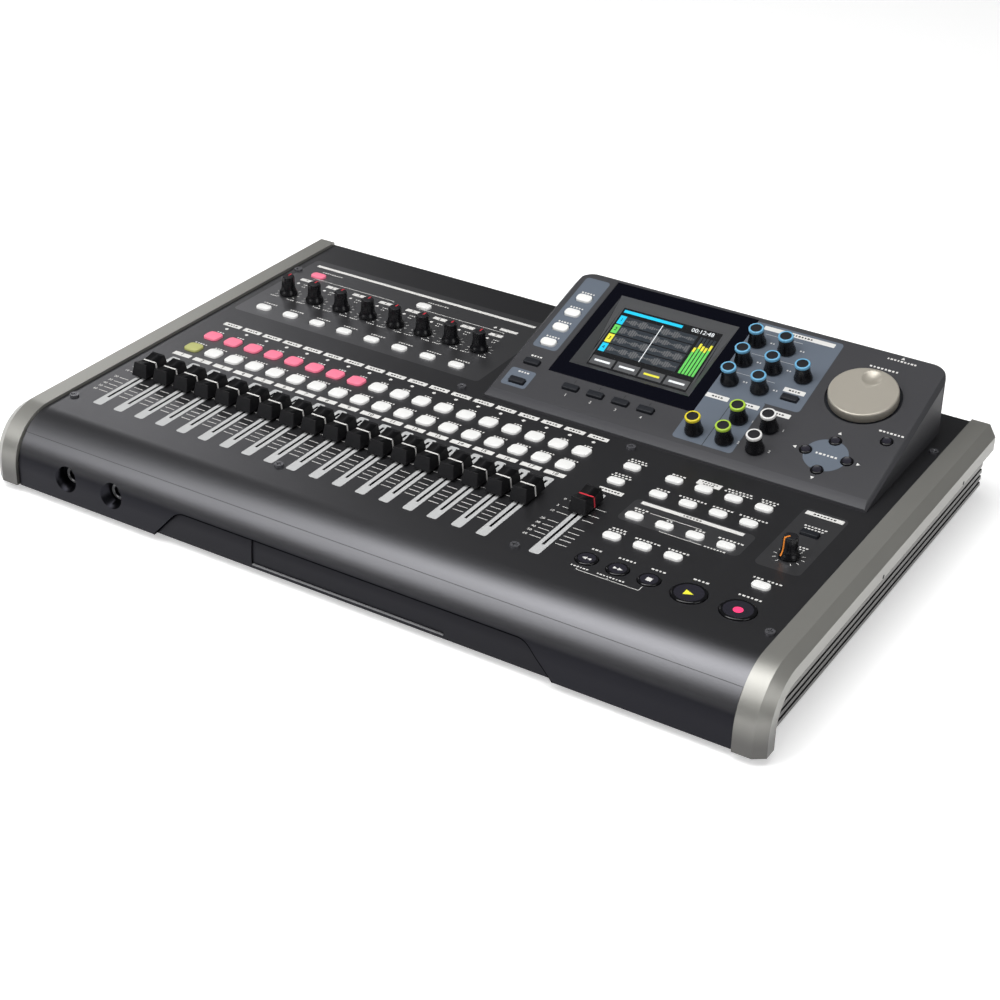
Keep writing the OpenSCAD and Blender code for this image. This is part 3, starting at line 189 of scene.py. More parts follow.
@dataclass(frozen=True)
class Finish:
    """A procedural finish: grained colour, uneven roughness and a fine bump.

    Attributes:
        name: Name of the material.
        rgb: Colour in 8-bit steps.
        rough: Middle roughness.
        bump: Strength of the grain's bump.
        grain: Fineness of the texture.
        metal: Share of metal.
        glow: Strength of its own light.
        coat: Weight of a clear coat.
        spec: Level of the plain reflection.
        drift: Share by which the colour wanders.
        fields: Fields of another tone.
        plane: Plane of the fields.
        low_rgb: Darker colour painted towards the lower edge as shade, if it changes.
        fade: Heights between which it changes.
    """

    name: str
    rgb: Triple
    rough: float = 0.5
    bump: float = 0.1
    grain: Grain = Grain.FINE
    metal: float = 0.0
    glow: float = 0.0
    coat: float = 0.0
    spec: float = 0.5
    drift: float = 0.06
    fields: tuple[Field, ...] = ()
    plane: Plane = PANEL
    low_rgb: Optional[Triple] = None
    fade: Point = (0.0, 1.0)

    def tint(self, name: str, rgb: Triple, **changes: object) -> "Finish":
        """Gives a like finish in another colour."""
        return replace(self, name=name, rgb=rgb, **changes)

    def material(self) -> bpy.types.Material:
        """Builds the node material, or finds it.

        Returns:
            The material.
        """
        known = bpy.data.materials.get(self.name)
        if known:
            return known
        made = bpy.data.materials.new(self.name)
        made.use_nodes = True
        tree = made.node_tree
        shader = tree.nodes["Principled BSDF"]
        place = tree.nodes.new("ShaderNodeTexCoord").outputs["Object"]
        fine = self.noise(tree, place, self.grain)
        wide = self.noise(tree, place, Grain.DRIFT)
        tone = self.blend(tree, wide, linear(self.rgb, 1.0 - self.drift), linear(self.rgb, 1.0 + self.drift))
        if self.fields:
            tone = self.paint_fields(tree, place, tone)
        # Painted shade: the colour darkens towards the lower edge.
        if self.low_rgb:
            tone = self.fade_down(tree, place, tone)
        tree.links.new(tone, shader.inputs["Base Color"])
        spread = tree.nodes.new("ShaderNodeMapRange")
        spread.inputs["To Min"].default_value = max(self.rough - ROUGH_SPREAD, ROUGH_LEAST)
        spread.inputs["To Max"].default_value = min(self.rough + ROUGH_SPREAD, 1.0)
        tree.links.new(fine, spread.inputs["Value"])
        tree.links.new(spread.outputs["Result"], shader.inputs["Roughness"])
        bump = tree.nodes.new("ShaderNodeBump")
        bump.inputs["Strength"].default_value = self.bump
        bump.inputs["Distance"].default_value = BUMP_DEPTH
        tree.links.new(fine, bump.inputs["Height"])
        tree.links.new(bump.outputs["Normal"], shader.inputs["Normal"])
        shader.inputs["Metallic"].default_value = self.metal
        shader.inputs["Coat Weight"].default_value = self.coat
        shader.inputs["Specular IOR Level"].default_value = self.spec
        if self.glow:
            shader.inputs["Emission Color"].default_value = linear(self.rgb)
            shader.inputs["Emission Strength"].default_value = self.glow
        return made

    @staticmethod
    def noise(tree: Tree, place: Socket, grain: Grain) -> Socket:
        """Adds a noise texture.

        Args:
            tree: Node tree of the material.
            place: Coordinates.
            grain: Fineness of the noise.

        Returns:
            The noise value.
        """
        node = tree.nodes.new("ShaderNodeTexNoise")
        node.inputs["Scale"].default_value = grain.value
        node.inputs["Detail"].default_value = NOISE_DETAIL
        tree.links.new(place, node.inputs["Vector"])
        return node.outputs["Fac"]

    @staticmethod
    def blend(tree: Tree, share: Socket, low: Union[tuple, Socket], high: tuple) -> Socket:
        """Mixes two colours.

        Args:
            tree: Node tree of the material.
            share: Share of the second colour.
            low: First colour or its socket.
            high: Second colour.

        Returns:
            The mixed colour.
        """
        node = tree.nodes.new("ShaderNodeMix")
        node.data_type = "RGBA"
        tree.links.new(share, node.inputs[0])
        if isinstance(low, tuple):
            node.inputs[6].default_value = low
        else:
            tree.links.new(low, node.inputs[6])
        node.inputs[7].default_value = high
        return node.outputs[2]

    def fade_down(self, tree: Tree, place: Socket, tone: Socket) -> Socket:
        """Fades the colour towards the lower edge, as painted shade.

        Args:
            tree: Node tree of the material.
            place: Object coordinates.
            tone: Colour of the upper part.

        Returns:
            The fading colour.
        """
        split = tree.nodes.new("ShaderNodeSeparateXYZ")
        tree.links.new(place, split.inputs[0])
        share = tree.nodes.new("ShaderNodeMapRange")
        share.interpolation_type = "SMOOTHSTEP"
        share.inputs["From Min"].default_value = self.fade[1] * MM
        share.inputs["From Max"].default_value = self.fade[0] * MM
        tree.links.new(split.outputs["Z"], share.inputs["Value"])
        return self.blend(tree, share.outputs["Result"], tone, linear(self.low_rgb))

    def paint_fields(self, tree: Tree, place: Socket, tone: Socket) -> Socket:
        """Lays the fields over the colour of the plane's surface alone.

        Args:
            tree: Node tree of the material.
            place: Object coordinates.
            tone: Colour below the fields.

        Returns:
            The colour with the fields.
        """
        flat = tree.nodes.new("ShaderNodeMapping")
        flat.vector_type = "TEXTURE"
        flat.inputs["Location"].default_value = [c * MM for c in self.plane.origin]
        flat.inputs["Rotation"].default_value = (math.radians(self.plane.tilt), 0.0, 0.0)
        flat.inputs["Scale"].default_value = (MM, MM, MM)
        tree.links.new(place, flat.inputs["Vector"])
        for zone in self.fields:
            x, y = ((a + b) / 2 for a, b in zip(zone.low, zone.high))
            wide, long = ((b - a) / 2 - zone.r for a, b in zip(zone.low, zone.high))
            value = flat.outputs["Vector"]
            for step, *given in (("MULTIPLY_ADD", (1.0, 1.0, FIELD_STEEP), (-x, -y, 0.0)),
                                 ("ABSOLUTE",),
                                 ("SUBTRACT", (wide, long, FIELD_STEEP * FIELD_REACH)),
                                 ("MAXIMUM", (0.0, 0.0, 0.0)),
                                 ("LENGTH",)):
                node = tree.nodes.new("ShaderNodeVectorMath")
                node.operation = step
                tree.links.new(value, node.inputs[0])
                for k, constant in enumerate(given, 1):
                    node.inputs[k].default_value = constant
                value = node.outputs["Value" if step == "LENGTH" else "Vector"]
            inside = tree.nodes.new("ShaderNodeMath")
            inside.operation = "LESS_THAN"
            inside.inputs[1].default_value = zone.r
            tree.links.new(value, inside.inputs[0])
            tone = self.blend(tree, inside.outputs[0], tone, linear(zone.rgb))
        return tone


ZONE_GREY = (130.0, 130.0, 133.0)
SLATE = (99.0, 108.0, 120.0)
PANEL_PAINT = Finish("panel_paint", (102, 102, 105), 0.33, 0.12, Grain.PEBBLE, metal=0.9, fields=(
    Field((-233.0, 202.0), (-40.0, 298.0), 3.0, ZONE_GREY),
    Field((112.7, 104.6), (188.0, 130.4), 4.0, ZONE_GREY),
    Field((197.3, 104.6), (224.5, 174.5), 4.0, ZONE_GREY)))
# Bezel paint that fades darker towards the bottom: painted shade standing in for a dimmer reflection on the
# lower front.
BEZEL_PAINT_SHADED = PANEL_PAINT.tint("bezel_paint_shaded", (102, 102, 105), fields=(), low_rgb=(34, 34, 39),
                               fade=(24.0, 31.0))
INSERT_BLACK = Finish("insert_black", (28, 28, 33), 0.4, 0.14, Grain.PEBBLE, metal=0.8)
# Pale strip along the plate's lower edge: a painted highlight standing for a lit ledge.
LEDGE_HIGHLIGHT = Finish("ledge_highlight", (128, 128, 130), 0.4, 0.05, Grain.SATIN)
# Cheek paint that fades darker towards the bottom: painted shade on the lower front, standing in for a dimmer
# reflection.
SILVER_PAINT_SHADED = Finish("silver_paint_shaded", (158, 157, 152), 0.32, 0.06, metal=0.5, low_rgb=(92, 91, 89),
                      fade=(10.0, 34.0))
# Dark grey used as painted shade on the cheeks' groove floors, and for the dark seam line on the roll.
GROOVE_SHADE_AND_SEAM = Finish("groove_shade_and_seam", (48, 48, 50), 0.6)
PAN_PAINT = Finish("pan_paint", (38, 38, 40), 0.5, 0.2, Grain.PEBBLE, metal=0.2)
CONSOLE_PAINT = Finish("console_paint", (63, 63, 66), 0.5, 0.2, Grain.PEBBLE, spec=0.35, plane=CONSOLE,
                       fields=(
    Field((6.1, 50.0), (23.7, 122.8), 2.6, SLATE),
    Field((5.4, 11.4), (23.0, 27.6), 2.0, SLATE),
    Field((126.0, 9.8), (165.5, 57.5), 2.6, SLATE),
    Field((126.0, 57.0), (187.0, 124.0), 2.6, SLATE),
    Field((203.2, 17.0), (229.8, 43.6), 13.29, SLATE)))
# A slightly paler tone for the console's front bevel: a painted highlight.
EDGE_HIGHLIGHT_PAINT = Finish("console_edge", (64, 64, 68), 0.45, 0.12, Grain.PEBBLE)
GLOSS_BLACK = Finish("gloss_black", (8, 9, 19), 0.14, 0.02, Grain.SATIN, coat=0.2, spec=0.3)
WELL_GREY = Finish("display_well", (69, 70, 72), 0.5, 0.15)
LCD_DARK = Finish("lcd_dark", (24, 25, 27), 0.25, 0.02, Grain.SATIN, glow=0.1)
LCD_GREY = LCD_DARK.tint("lcd_grey", (96, 97, 99), rough=0.4, glow=0.15)
LCD_DEEP = LCD_GREY.tint("lcd_deep", (34, 42, 50))
LCD_BOX = LCD_GREY.tint("lcd_box", (78, 79, 81), glow=0.12)
LCD_WHITE = LCD_GREY.tint("lcd_white", (226, 230, 232), glow=0.25)
LCD_CYAN = LCD_GREY.tint("lcd_cyan", (13, 186, 225), glow=0.3)
LCD_YELLOW = LCD_CYAN.tint("lcd_yellow", (217, 211, 57))
LCD_GREEN = LCD_CYAN.tint("lcd_green", (92, 190, 84))
LIT_WHITE = Finish("key_white", (232, 232, 230), 0.42, 0.05, Grain.SATIN, glow=0.1, drift=0.02)
LIT_PINK = LIT_WHITE.tint("key_pink", (236, 120, 146), glow=0.22, drift=0.03)
LIT_OLIVE = LIT_PINK.tint("key_olive", (176, 178, 112), glow=0.12)
# Dark key finish, also used as painted shade in the jog wheel's recess.
KEY_DARK_AND_RECESS_SHADE = Finish("key_dark_and_recess_shade", (34, 36, 41), 0.4, spec=0.3)
DISH_BLACK = Finish("dish_black", (42, 41, 49), 0.24, 0.04, spec=0.4)
RIM_BLACK = Finish("rim_black", (14, 14, 17), 0.16, 0.03, Grain.SATIN, coat=0.3)
CAP_BLACK = Finish("cap_black", (26, 26, 28), 0.46, 0.14, spec=0.25)
KNOB_BLACK = Finish("knob_black", (15, 15, 18), 0.26, 0.05, spec=0.45)
KNOB_TOP = Finish("knob_top", (36, 36, 39), 0.42, spec=0.25)
RING_BLUE = Finish("ring_blue", (112, 178, 216), 0.4, 0.05, Grain.SATIN, drift=0.03)
RING_YELLOW = RING_BLUE.tint("ring_yellow", (226, 208, 40))
RING_GREEN = RING_BLUE.tint("ring_green", (176, 212, 66))
RING_WHITE = RING_BLUE.tint("ring_white", (230, 230, 228))
CHAMPAGNE = Finish("champagne", (192, 186, 174), 0.36, 0.05, Grain.SATIN, metal=0.45)
INK_WHITE = Finish("ink_white", (226, 225, 222), 0.6, 0.03, Grain.SATIN, drift=0.03)
INK_GREY = INK_WHITE.tint("ink_grey", (190, 191, 191), rough=0.55)
INK_DARK = Finish("ink_dark", (34, 34, 37), 0.6, 0.03, Grain.SATIN)
INK_BLACK = INK_DARK.tint("ink_black", (8, 8, 9), rough=0.7)
GAP_BLACK = INK_DARK.tint("gap_black", (6, 6, 9), rough=0.9, bump=0.02, spec=0.0)
LINE_RED = INK_DARK.tint("line_red", (216, 50, 66), rough=0.45)
LINE_ORANGE = LINE_RED.tint("line_orange", (236, 140, 48), glow=0.1)
DOT_PINK = INK_DARK.tint("dot_pink", (240, 60, 112), rough=0.4, glow=0.5)
MARK_YELLOW = DOT_PINK.tint("mark_yellow", (222, 218, 60), glow=0.3)
STEEL = Finish("bright_steel", (168, 168, 170), 0.3, 0.05, Grain.SATIN, metal=0.9)
SCREW_BLACK = STEEL.tint("screw_black", (104, 104, 108), rough=0.26, metal=0.45)
POT_STEEL = STEEL.tint("pot_steel", (140, 141, 143), rough=0.4, bump=0.08, metal=0.8)
SOCKET_BLACK = Finish("socket_black", (22, 22, 24), 0.45)
RUBBER = Finish("rubber", (20, 20, 21), 0.8, 0.3, Grain.PEBBLE)
BOARD_GREEN = Finish("board_green", (26, 72, 50), 0.5, 0.1, Grain.SATIN)


SAME_POINT = 1e-4
INSET_LEAST = 0.2


def turns(steps: int) -> list[float]:
    """Gives the angles of a full turn in equal steps."""
    return [2 * math.pi * k / steps for k in range(steps)]


def around(at: Point, r: float, a: float) -> Point:
    """Gives the point of a circle at an angle."""
    return at[0] + r * math.cos(a), at[1] + r * math.sin(a)


def rounded(at: Point, w: float, l: float, r: float, steps: int = 5) -> Outline:
    """Outlines a rounded rectangle, counter-clockwise.

    Args:
        at: Middle.
        w: Width.
        l: Length.
        r: Corner radius.
        steps: Parts of each corner.

    Returns:
        The outline.
    """
    r = min(r, w / 2, l / 2)
    points: Outline = []
    for sx, sy, start in ((1, 1, 0), (-1, 1, 90), (-1, -1, 180), (1, -1, 270)):
        middle = (at[0] + sx * (w / 2 - r), at[1] + sy * (l / 2 - r))
        for k in range(steps + 1):
            point = around(middle, r, math.radians(start + 90 * k / steps))
            if all(math.dist(point, p) > SAME_POINT for p in points[-1:] + points[:1]):
                points.append(point)
    return points


def block(low: Point, high: Point) -> Outline:
    """Outlines a plain rectangle between two corners."""
    return [low, (high[0], low[1]), high, (low[0], high[1])]


def disc(at: Point, d: float, steps: int = 40) -> Outline:
    """Outlines a circle as a polygon."""
    return [around(at, d / 2, a) for a in turns(steps)]


def arrow(at: Point, size: float, way: Way, wide: float = 1.0) -> Outline:
    """Outlines a triangle that points one way.

    Args:
        at: Middle.
        size: Length from base to tip.
        way: Direction of the tip.
        wide: Width as a share of the length.

    Returns:
        The outline.
    """
    a = math.radians(way.value)
    cos, sin = math.cos(a), math.sin(a)
    raw = ((size / 2, 0.0), (-size / 2, size * wide / 2), (-size / 2, -size * wide / 2))
    return [(at[0] + x * cos - y * sin, at[1] + x * sin + y * cos) for x, y in raw]


def inset(outline: Sequence[Point], d: float) -> Outline:
    """Moves a counter-clockwise outline inwards.

    Args:
        outline: The outline.
        d: Distance.

    Returns:
        The smaller outline.
    """
    made: Outline = []
    for k, here in enumerate(outline):
        before = (Vector(here) - Vector(outline[k - 1])).normalized()
        after = (Vector(outline[(k + 1) % len(outline)]) - Vector(here)).normalized()
        n1, n2 = Vector((-before.y, before.x)), Vector((-after.y, after.x))
        step = (n1 + n2) * (d / max(1.0 + n1.dot(n2), INSET_LEAST))
        made.append((here[0] + step.x, here[1] + step.y))
    return made


MARK_WIDTHS = (0.55, 0.86, 0.7)
MARK_PITCH = 1.2
MARK_HEIGHT = 0.7
INK_TOP = 0.05
INK_SINK = 0.08
FIGURE_CURVES = 3
FIGURE_WELD = 1e-5
EDGE_TURNS = tuple(k * math.pi / 6 for k in (1, 2, 3))
DOME_SHARES = (0.8, 0.55, 0.3)
SHARP_ANGLE = 38.0


class Build:
    """Closed solids on one plane, gathered into a piece with one or more finishes."""

    def __init__(self, plane: Plane) -> None:
        """Starts an empty piece.

        Args:
            plane: Plane of its solids.
        """
        self.plane = plane
        self.verts: list[Vector] = []
        self.faces: list[list[int]] = []
        self.tones: list[int] = []
        self.finishes: list[Finish] = []

    def tone(self, finish: Finish) -> int:
        """Gives the finish's place in the piece's list."""
        if finish not in self.finishes:
            self.finishes.append(finish)
        return self.finishes.index(finish)

    def add(self, points: Sequence[Triple]) -> list[int]:
        """Adds points of the plane.

        Args:
            points: Places and heights on the plane.

        Returns:
            The numbers of the points.
        """
        start = len(self.verts)
        self.verts.extend(self.plane.at(*p) for p in points)
        return list(range(start, len(self.verts)))

    def face(self, corners: Sequence[int], tone: int) -> None:
        """Adds one face."""
        self.faces.append(list(corners))
        self.tones.append(tone)

    def skin(self, loops: Sequence[Sequence[Triple]], finish: Union[Finish, Sequence[Finish]]) -> None:
        """Joins loops into a closed solid.

        Args:
            loops: Counter-clockwise loops from the lowest on; the last may be a single point.
            finish: One finish, or one for each band between two loops.
        """
        bands = [finish] * (len(loops) - 1) if isinstance(finish, Finish) else list(finish)
        tones = [self.tone(f) for f in bands]
        rows = [self.add(loop) for loop in loops]
        self.face(rows[0][::-1], tones[0])
        for low, high, tone in zip(rows, rows[1:], tones):
            for k, here in enumerate(low):
                j = (k + 1) % len(low)
                upper = high if len(high) == 1 else (high[j], high[k])
                self.face((here, low[j], *upper), tone)
        if len(rows[-1]) > 2:
            self.face(rows[-1], tones[-1])

    def prism(self, outline: Sequence[Point], low: float, high: float, finish: Finish,
              edge: float = 0.0, dome: float = 0.0) -> None:
        """Stands an outline up, with an edge round and a domed or dished top.

        Args:
            outline: Counter-clockwise outline.
            low: Height of the underside.
            high: Height of the top's rim.
            finish: Finish of the solid.
            edge: Radius of the top edge.
            dome: Rise of the top's middle; a negative one dishes it.
        """
        loops = [[(x, y, h) for x, y in outline] for h in (low, high - edge)]
        for a in EDGE_TURNS if edge else ():
            ring = inset(outline, edge * (1 - math.cos(a)))
            loops.append([(x, y, high - edge + edge * math.sin(a)) for x, y in ring])
        if dome:
            rim = inset(outline, edge) if edge else list(outline)
            cx, cy = (sum(c) / len(rim) for c in zip(*rim))
            for s in DOME_SHARES:
                rise = high + dome * (1 - s * s)
                loops.append([(cx + (x - cx) * s, cy + (y - cy) * s, rise) for x, y in rim])
            loops.append([(cx, cy, high + dome)])
        self.skin(loops, finish)

    def lathe(self, at: Point, profile: Sequence[Point], finish: Union[Finish, Sequence[Finish]],
              steps: int = 40, flute: Callable[[float, float, float], float] = lambda a, r, h: r) -> None:
        """Turns a profile about the plane's normal.

        Args:
            at: Place of the axis.
            profile: Radius and height of each loop from the lowest on; a last radius of 0 closes it.
            finish: One finish, or one for each band.
            steps: Parts of the turn.
            flute: Gives the radius at an angle, a plain radius and a height.
        """
        loops: list[list[Triple]] = []
        for r, h in profile:
            if r == 0.0:
                loops.append([(*at, h)])
            else:
                loops.append([(*around(at, flute(a, r, h), a), h) for a in turns(steps)])
        self.skin(loops, finish)

    def ink(self, outline: Sequence[Point], finish: Finish = INK_WHITE, h: float = 0.0) -> None:
        """Prints a filled outline as a thin film."""
        self.prism(outline, h - INK_SINK, h + INK_TOP, finish)

    def line(self, points: Sequence[Point], width: float, finish: Finish = INK_WHITE) -> None:
        """Prints a line through points.

        Args:
            points: Corners of the line.
            width: Width of the line.
            finish: Its finish.
        """
        for a, b in zip(points, points[1:]):
            along = (Vector(b) - Vector(a)).normalized() * width / 2
            side = Vector((-along.y, along.x))
            ends = (Vector(a) - along - side, Vector(b) + along - side,
                    Vector(b) + along + side, Vector(a) - along + side)
            self.ink([(p.x, p.y) for p in ends], finish)

    def marks(self, at: Point, count: int, size: float, finish: Finish = INK_WHITE, h: float = 0.0) -> None:
        """Prints a row of small plain blocks.

        Args:
            at: Middle of the row.
            count: How many blocks.
            size: Their pitch and height are shares of this.
            finish: Their finish.
            h: Height of the surface.
        """
        pitch, half = MARK_PITCH * size, MARK_HEIGHT * size / 2
        for k in range(count):
            x = at[0] + (k - (count - 1) / 2) * pitch
            wide = MARK_WIDTHS[(k + count) % len(MARK_WIDTHS)] * size / 2
            self.ink(block((x - wide, at[1] - half), (x + wide, at[1] + half)), finish, h)

    def number(self, text: str, at: Point, size: float, finish: Finish = INK_WHITE, h: float = 0.0) -> None:
        """Prints a plain number.

        Args:
            text: Figures to print.
            at: Middle of the number.
            size: Type size.
            finish: Its finish.
            h: Height of the surface.
        """
        curve = bpy.data.curves.new("figures", "FONT")
        curve.body, curve.size, curve.extrude, curve.resolution_u = text, size, INK_TOP, FIGURE_CURVES
        curve.align_x, curve.align_y = "CENTER", "CENTER"
        holder = bpy.data.objects.new("figures", curve)
        bpy.context.scene.collection.objects.link(holder)
        flat = bpy.data.meshes.new_from_object(holder.evaluated_get(bpy.context.evaluated_depsgraph_get()))
        solid = bmesh.new()
        solid.from_mesh(flat)
        bmesh.ops.remove_doubles(solid, verts=solid.verts, dist=FIGURE_WELD)
        solid.verts.index_update()
        ids = self.add([(at[0] + v.co.x, at[1] + v.co.y, h + v.co.z) for v in solid.verts])
        for poly in solid.faces:
            self.face([ids[v.index] for v in poly.verts], self.tone(finish))
        solid.free()
        bpy.data.objects.remove(holder)
        bpy.data.meshes.remove(flat)
        bpy.data.curves.remove(curve)

    def label(self, at: Point, size: Point, text: Union[int, str], mark: float = 1.7, r: float = 0.3) -> None:
        """Prints a pale strip with dark marks or a dark number on it.

        Args:
            at: Middle of the strip.
            size: Its width and length.
            text: How many marks, or the figures.
            mark: Size of the marks or figures.
            r: Corner radius of the strip.
        """
        self.ink(rounded(at, *size, r))
        if isinstance(text, str):
            self.number(text, at, mark, INK_DARK, INK_TOP)
        else:
            self.marks(at, text, mark, INK_DARK, INK_TOP)

    def piece(self, name: str, body: str, slot: str, *nodes: str, sharp: float = SHARP_ANGLE) -> None:
        """Makes the piece and hangs it on its body.

        Args:
            name: Name of the piece.
            body: Body it rides on.
            slot: Material slot of the record; not used.
            *nodes: CAD nodes it stands for.
            sharp: Edges above this angle stay sharp, in degrees.
        """
        mesh = bpy.data.meshes.new(name)
        mesh.from_pydata(self.verts, [], self.faces)
        for finish in self.finishes:
            mesh.materials.append(finish.material())
        mesh.polygons.foreach_set("material_index", self.tones)
        hang(mesh, name, body, nodes, sharp)


FLAT_FRONT = -0.9999
ROLL_SLACK = 0.0005
ROLL_FIT = 0.99


def smooth_roll(mesh: bpy.types.Mesh) -> None:
    """Gives faces round the front roll's axis the normals of a true cylinder, and keeps the flat front flat.

    Args:
        mesh: Mesh of a shell, in the frame at rest.
    """
    normals = [Vector(n.vector) for n in mesh.corner_normals]
    across = Vector((0.0, 1.0, 1.0))
    axis = Vector((0.0, ROLL_Y, ROLL_Z)) * MM
    for poly in mesh.polygons:
        if poly.normal.y < FLAT_FRONT:
            for loop in poly.loop_indices:
                normals[loop] = poly.normal.copy()
        out = (poly.center - axis) * across
        turn = out.normalized().dot(poly.normal)
        if out.y < ROLL_SLACK and out.z > -ROLL_SLACK and abs(turn) > ROLL_FIT:
            for loop in poly.loop_indices:
                spot = (mesh.vertices[mesh.loops[loop].vertex_index].co - axis) * across
                normals[loop] = spot.normalized() * math.copysign(1.0, turn)
    mesh.normals_split_custom_set(normals)


def hang(mesh: bpy.types.Mesh, name: str, body: str, nodes: Sequence[str],
         sharp: float, rolled: bool = False) -> bpy.types.Object:
    """Shades a mesh, links it and puts it on its body.

    Args:
        mesh: The mesh, in the frame at rest.
        name: Name of the piece.
        body: Body it rides on.
        nodes: CAD nodes it stands for.
        sharp: Edges above this angle stay sharp, in degrees.
        rolled: Whether it runs over the front roll.

    Returns:
        The piece.
    """
    mesh.shade_smooth()
    mesh.set_sharp_from_angle(angle=math.radians(sharp))
    if rolled:
        smooth_roll(mesh)
    made = bpy.data.objects.new(name, mesh)
    bpy.context.scene.collection.objects.link(made)
    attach(made, body)
    if nodes:
        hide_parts(*nodes)
    LOG.info("%s: %d faces on %s", name, len(mesh.polygons), body)
    return made


NODE_WELD = 1e-6
COPLANAR_ANGLE = 0.3
ROUNDED_ANGLE = 28.0


def softened(node: str, body: str, finish: Finish, width: float = 0.0, reach: float = 4.0,
             pick: Optional[Callable[[Vector, Vector], Finish]] = None,
             where: Callable[[Vector], bool] = lambda p: True, extra: Optional[Build] = None,
             rolled: bool = False, sharp: float = SHARP_ANGLE) -> None:
    """Copies a CAD node with its long edges rounded.

    Args:
        node: CAD node.
        body: Body it rides on.
        finish: Finish of the copy.
        width: Width of the rounding.
        reach: Edges shorter than this stay as they are.
        pick: Gives a face's finish from its middle and its normal.
        where: Tells whether an edge at this point may be rounded.
        extra: More solids for the piece.
        rolled: Whether it runs over the front roll.
        sharp: Edges above this angle stay sharp, in degrees.
    """
    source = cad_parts[node]
    work = bmesh.new()
    work.from_mesh(source.data)
    work.transform(source.matrix_world)
    bmesh.ops.remove_doubles(work, verts=work.verts, dist=NODE_WELD)
    bmesh.ops.dissolve_limit(work, angle_limit=math.radians(COPLANAR_ANGLE), verts=work.verts,
                             edges=work.edges)
    finishes = [finish]
    for poly in work.faces:
        chosen = pick(poly.calc_center_median() / MM, poly.normal) if pick else finish
        if chosen not in finishes:
            finishes.append(chosen)
        poly.material_index = finishes.index(chosen)
    if width:
        edges = [e for e in work.edges if e.is_manifold and e.calc_length() > reach * MM
                 and e.calc_face_angle(0.0) > math.radians(ROUNDED_ANGLE)
                 and where((e.verts[0].co + e.verts[1].co) / (2 * MM))]
        bmesh.ops.bevel(work, geom=edges, offset=width * MM, offset_type="OFFSET", segments=3, profile=0.5,
                        affect="EDGES", clamp_overlap=True)
    if extra:
        first = len(finishes)
        finishes += extra.finishes
        fresh = [work.verts.new(v) for v in extra.verts]
        for corners, tone in zip(extra.faces, extra.tones):
            added = work.faces.new([fresh[c] for c in corners])
            added.material_index = first + tone
    mesh = bpy.data.meshes.new(node + "_shell")
    work.to_mesh(mesh)
    work.free()
    for used in finishes:
        mesh.materials.append(used.material())
    made = hang(mesh, node + "_shell", body, (node,), sharp, rolled)
    if width:
        even = made.modifiers.new("even", "WEIGHTED_NORMAL")
        even.keep_sharp = True


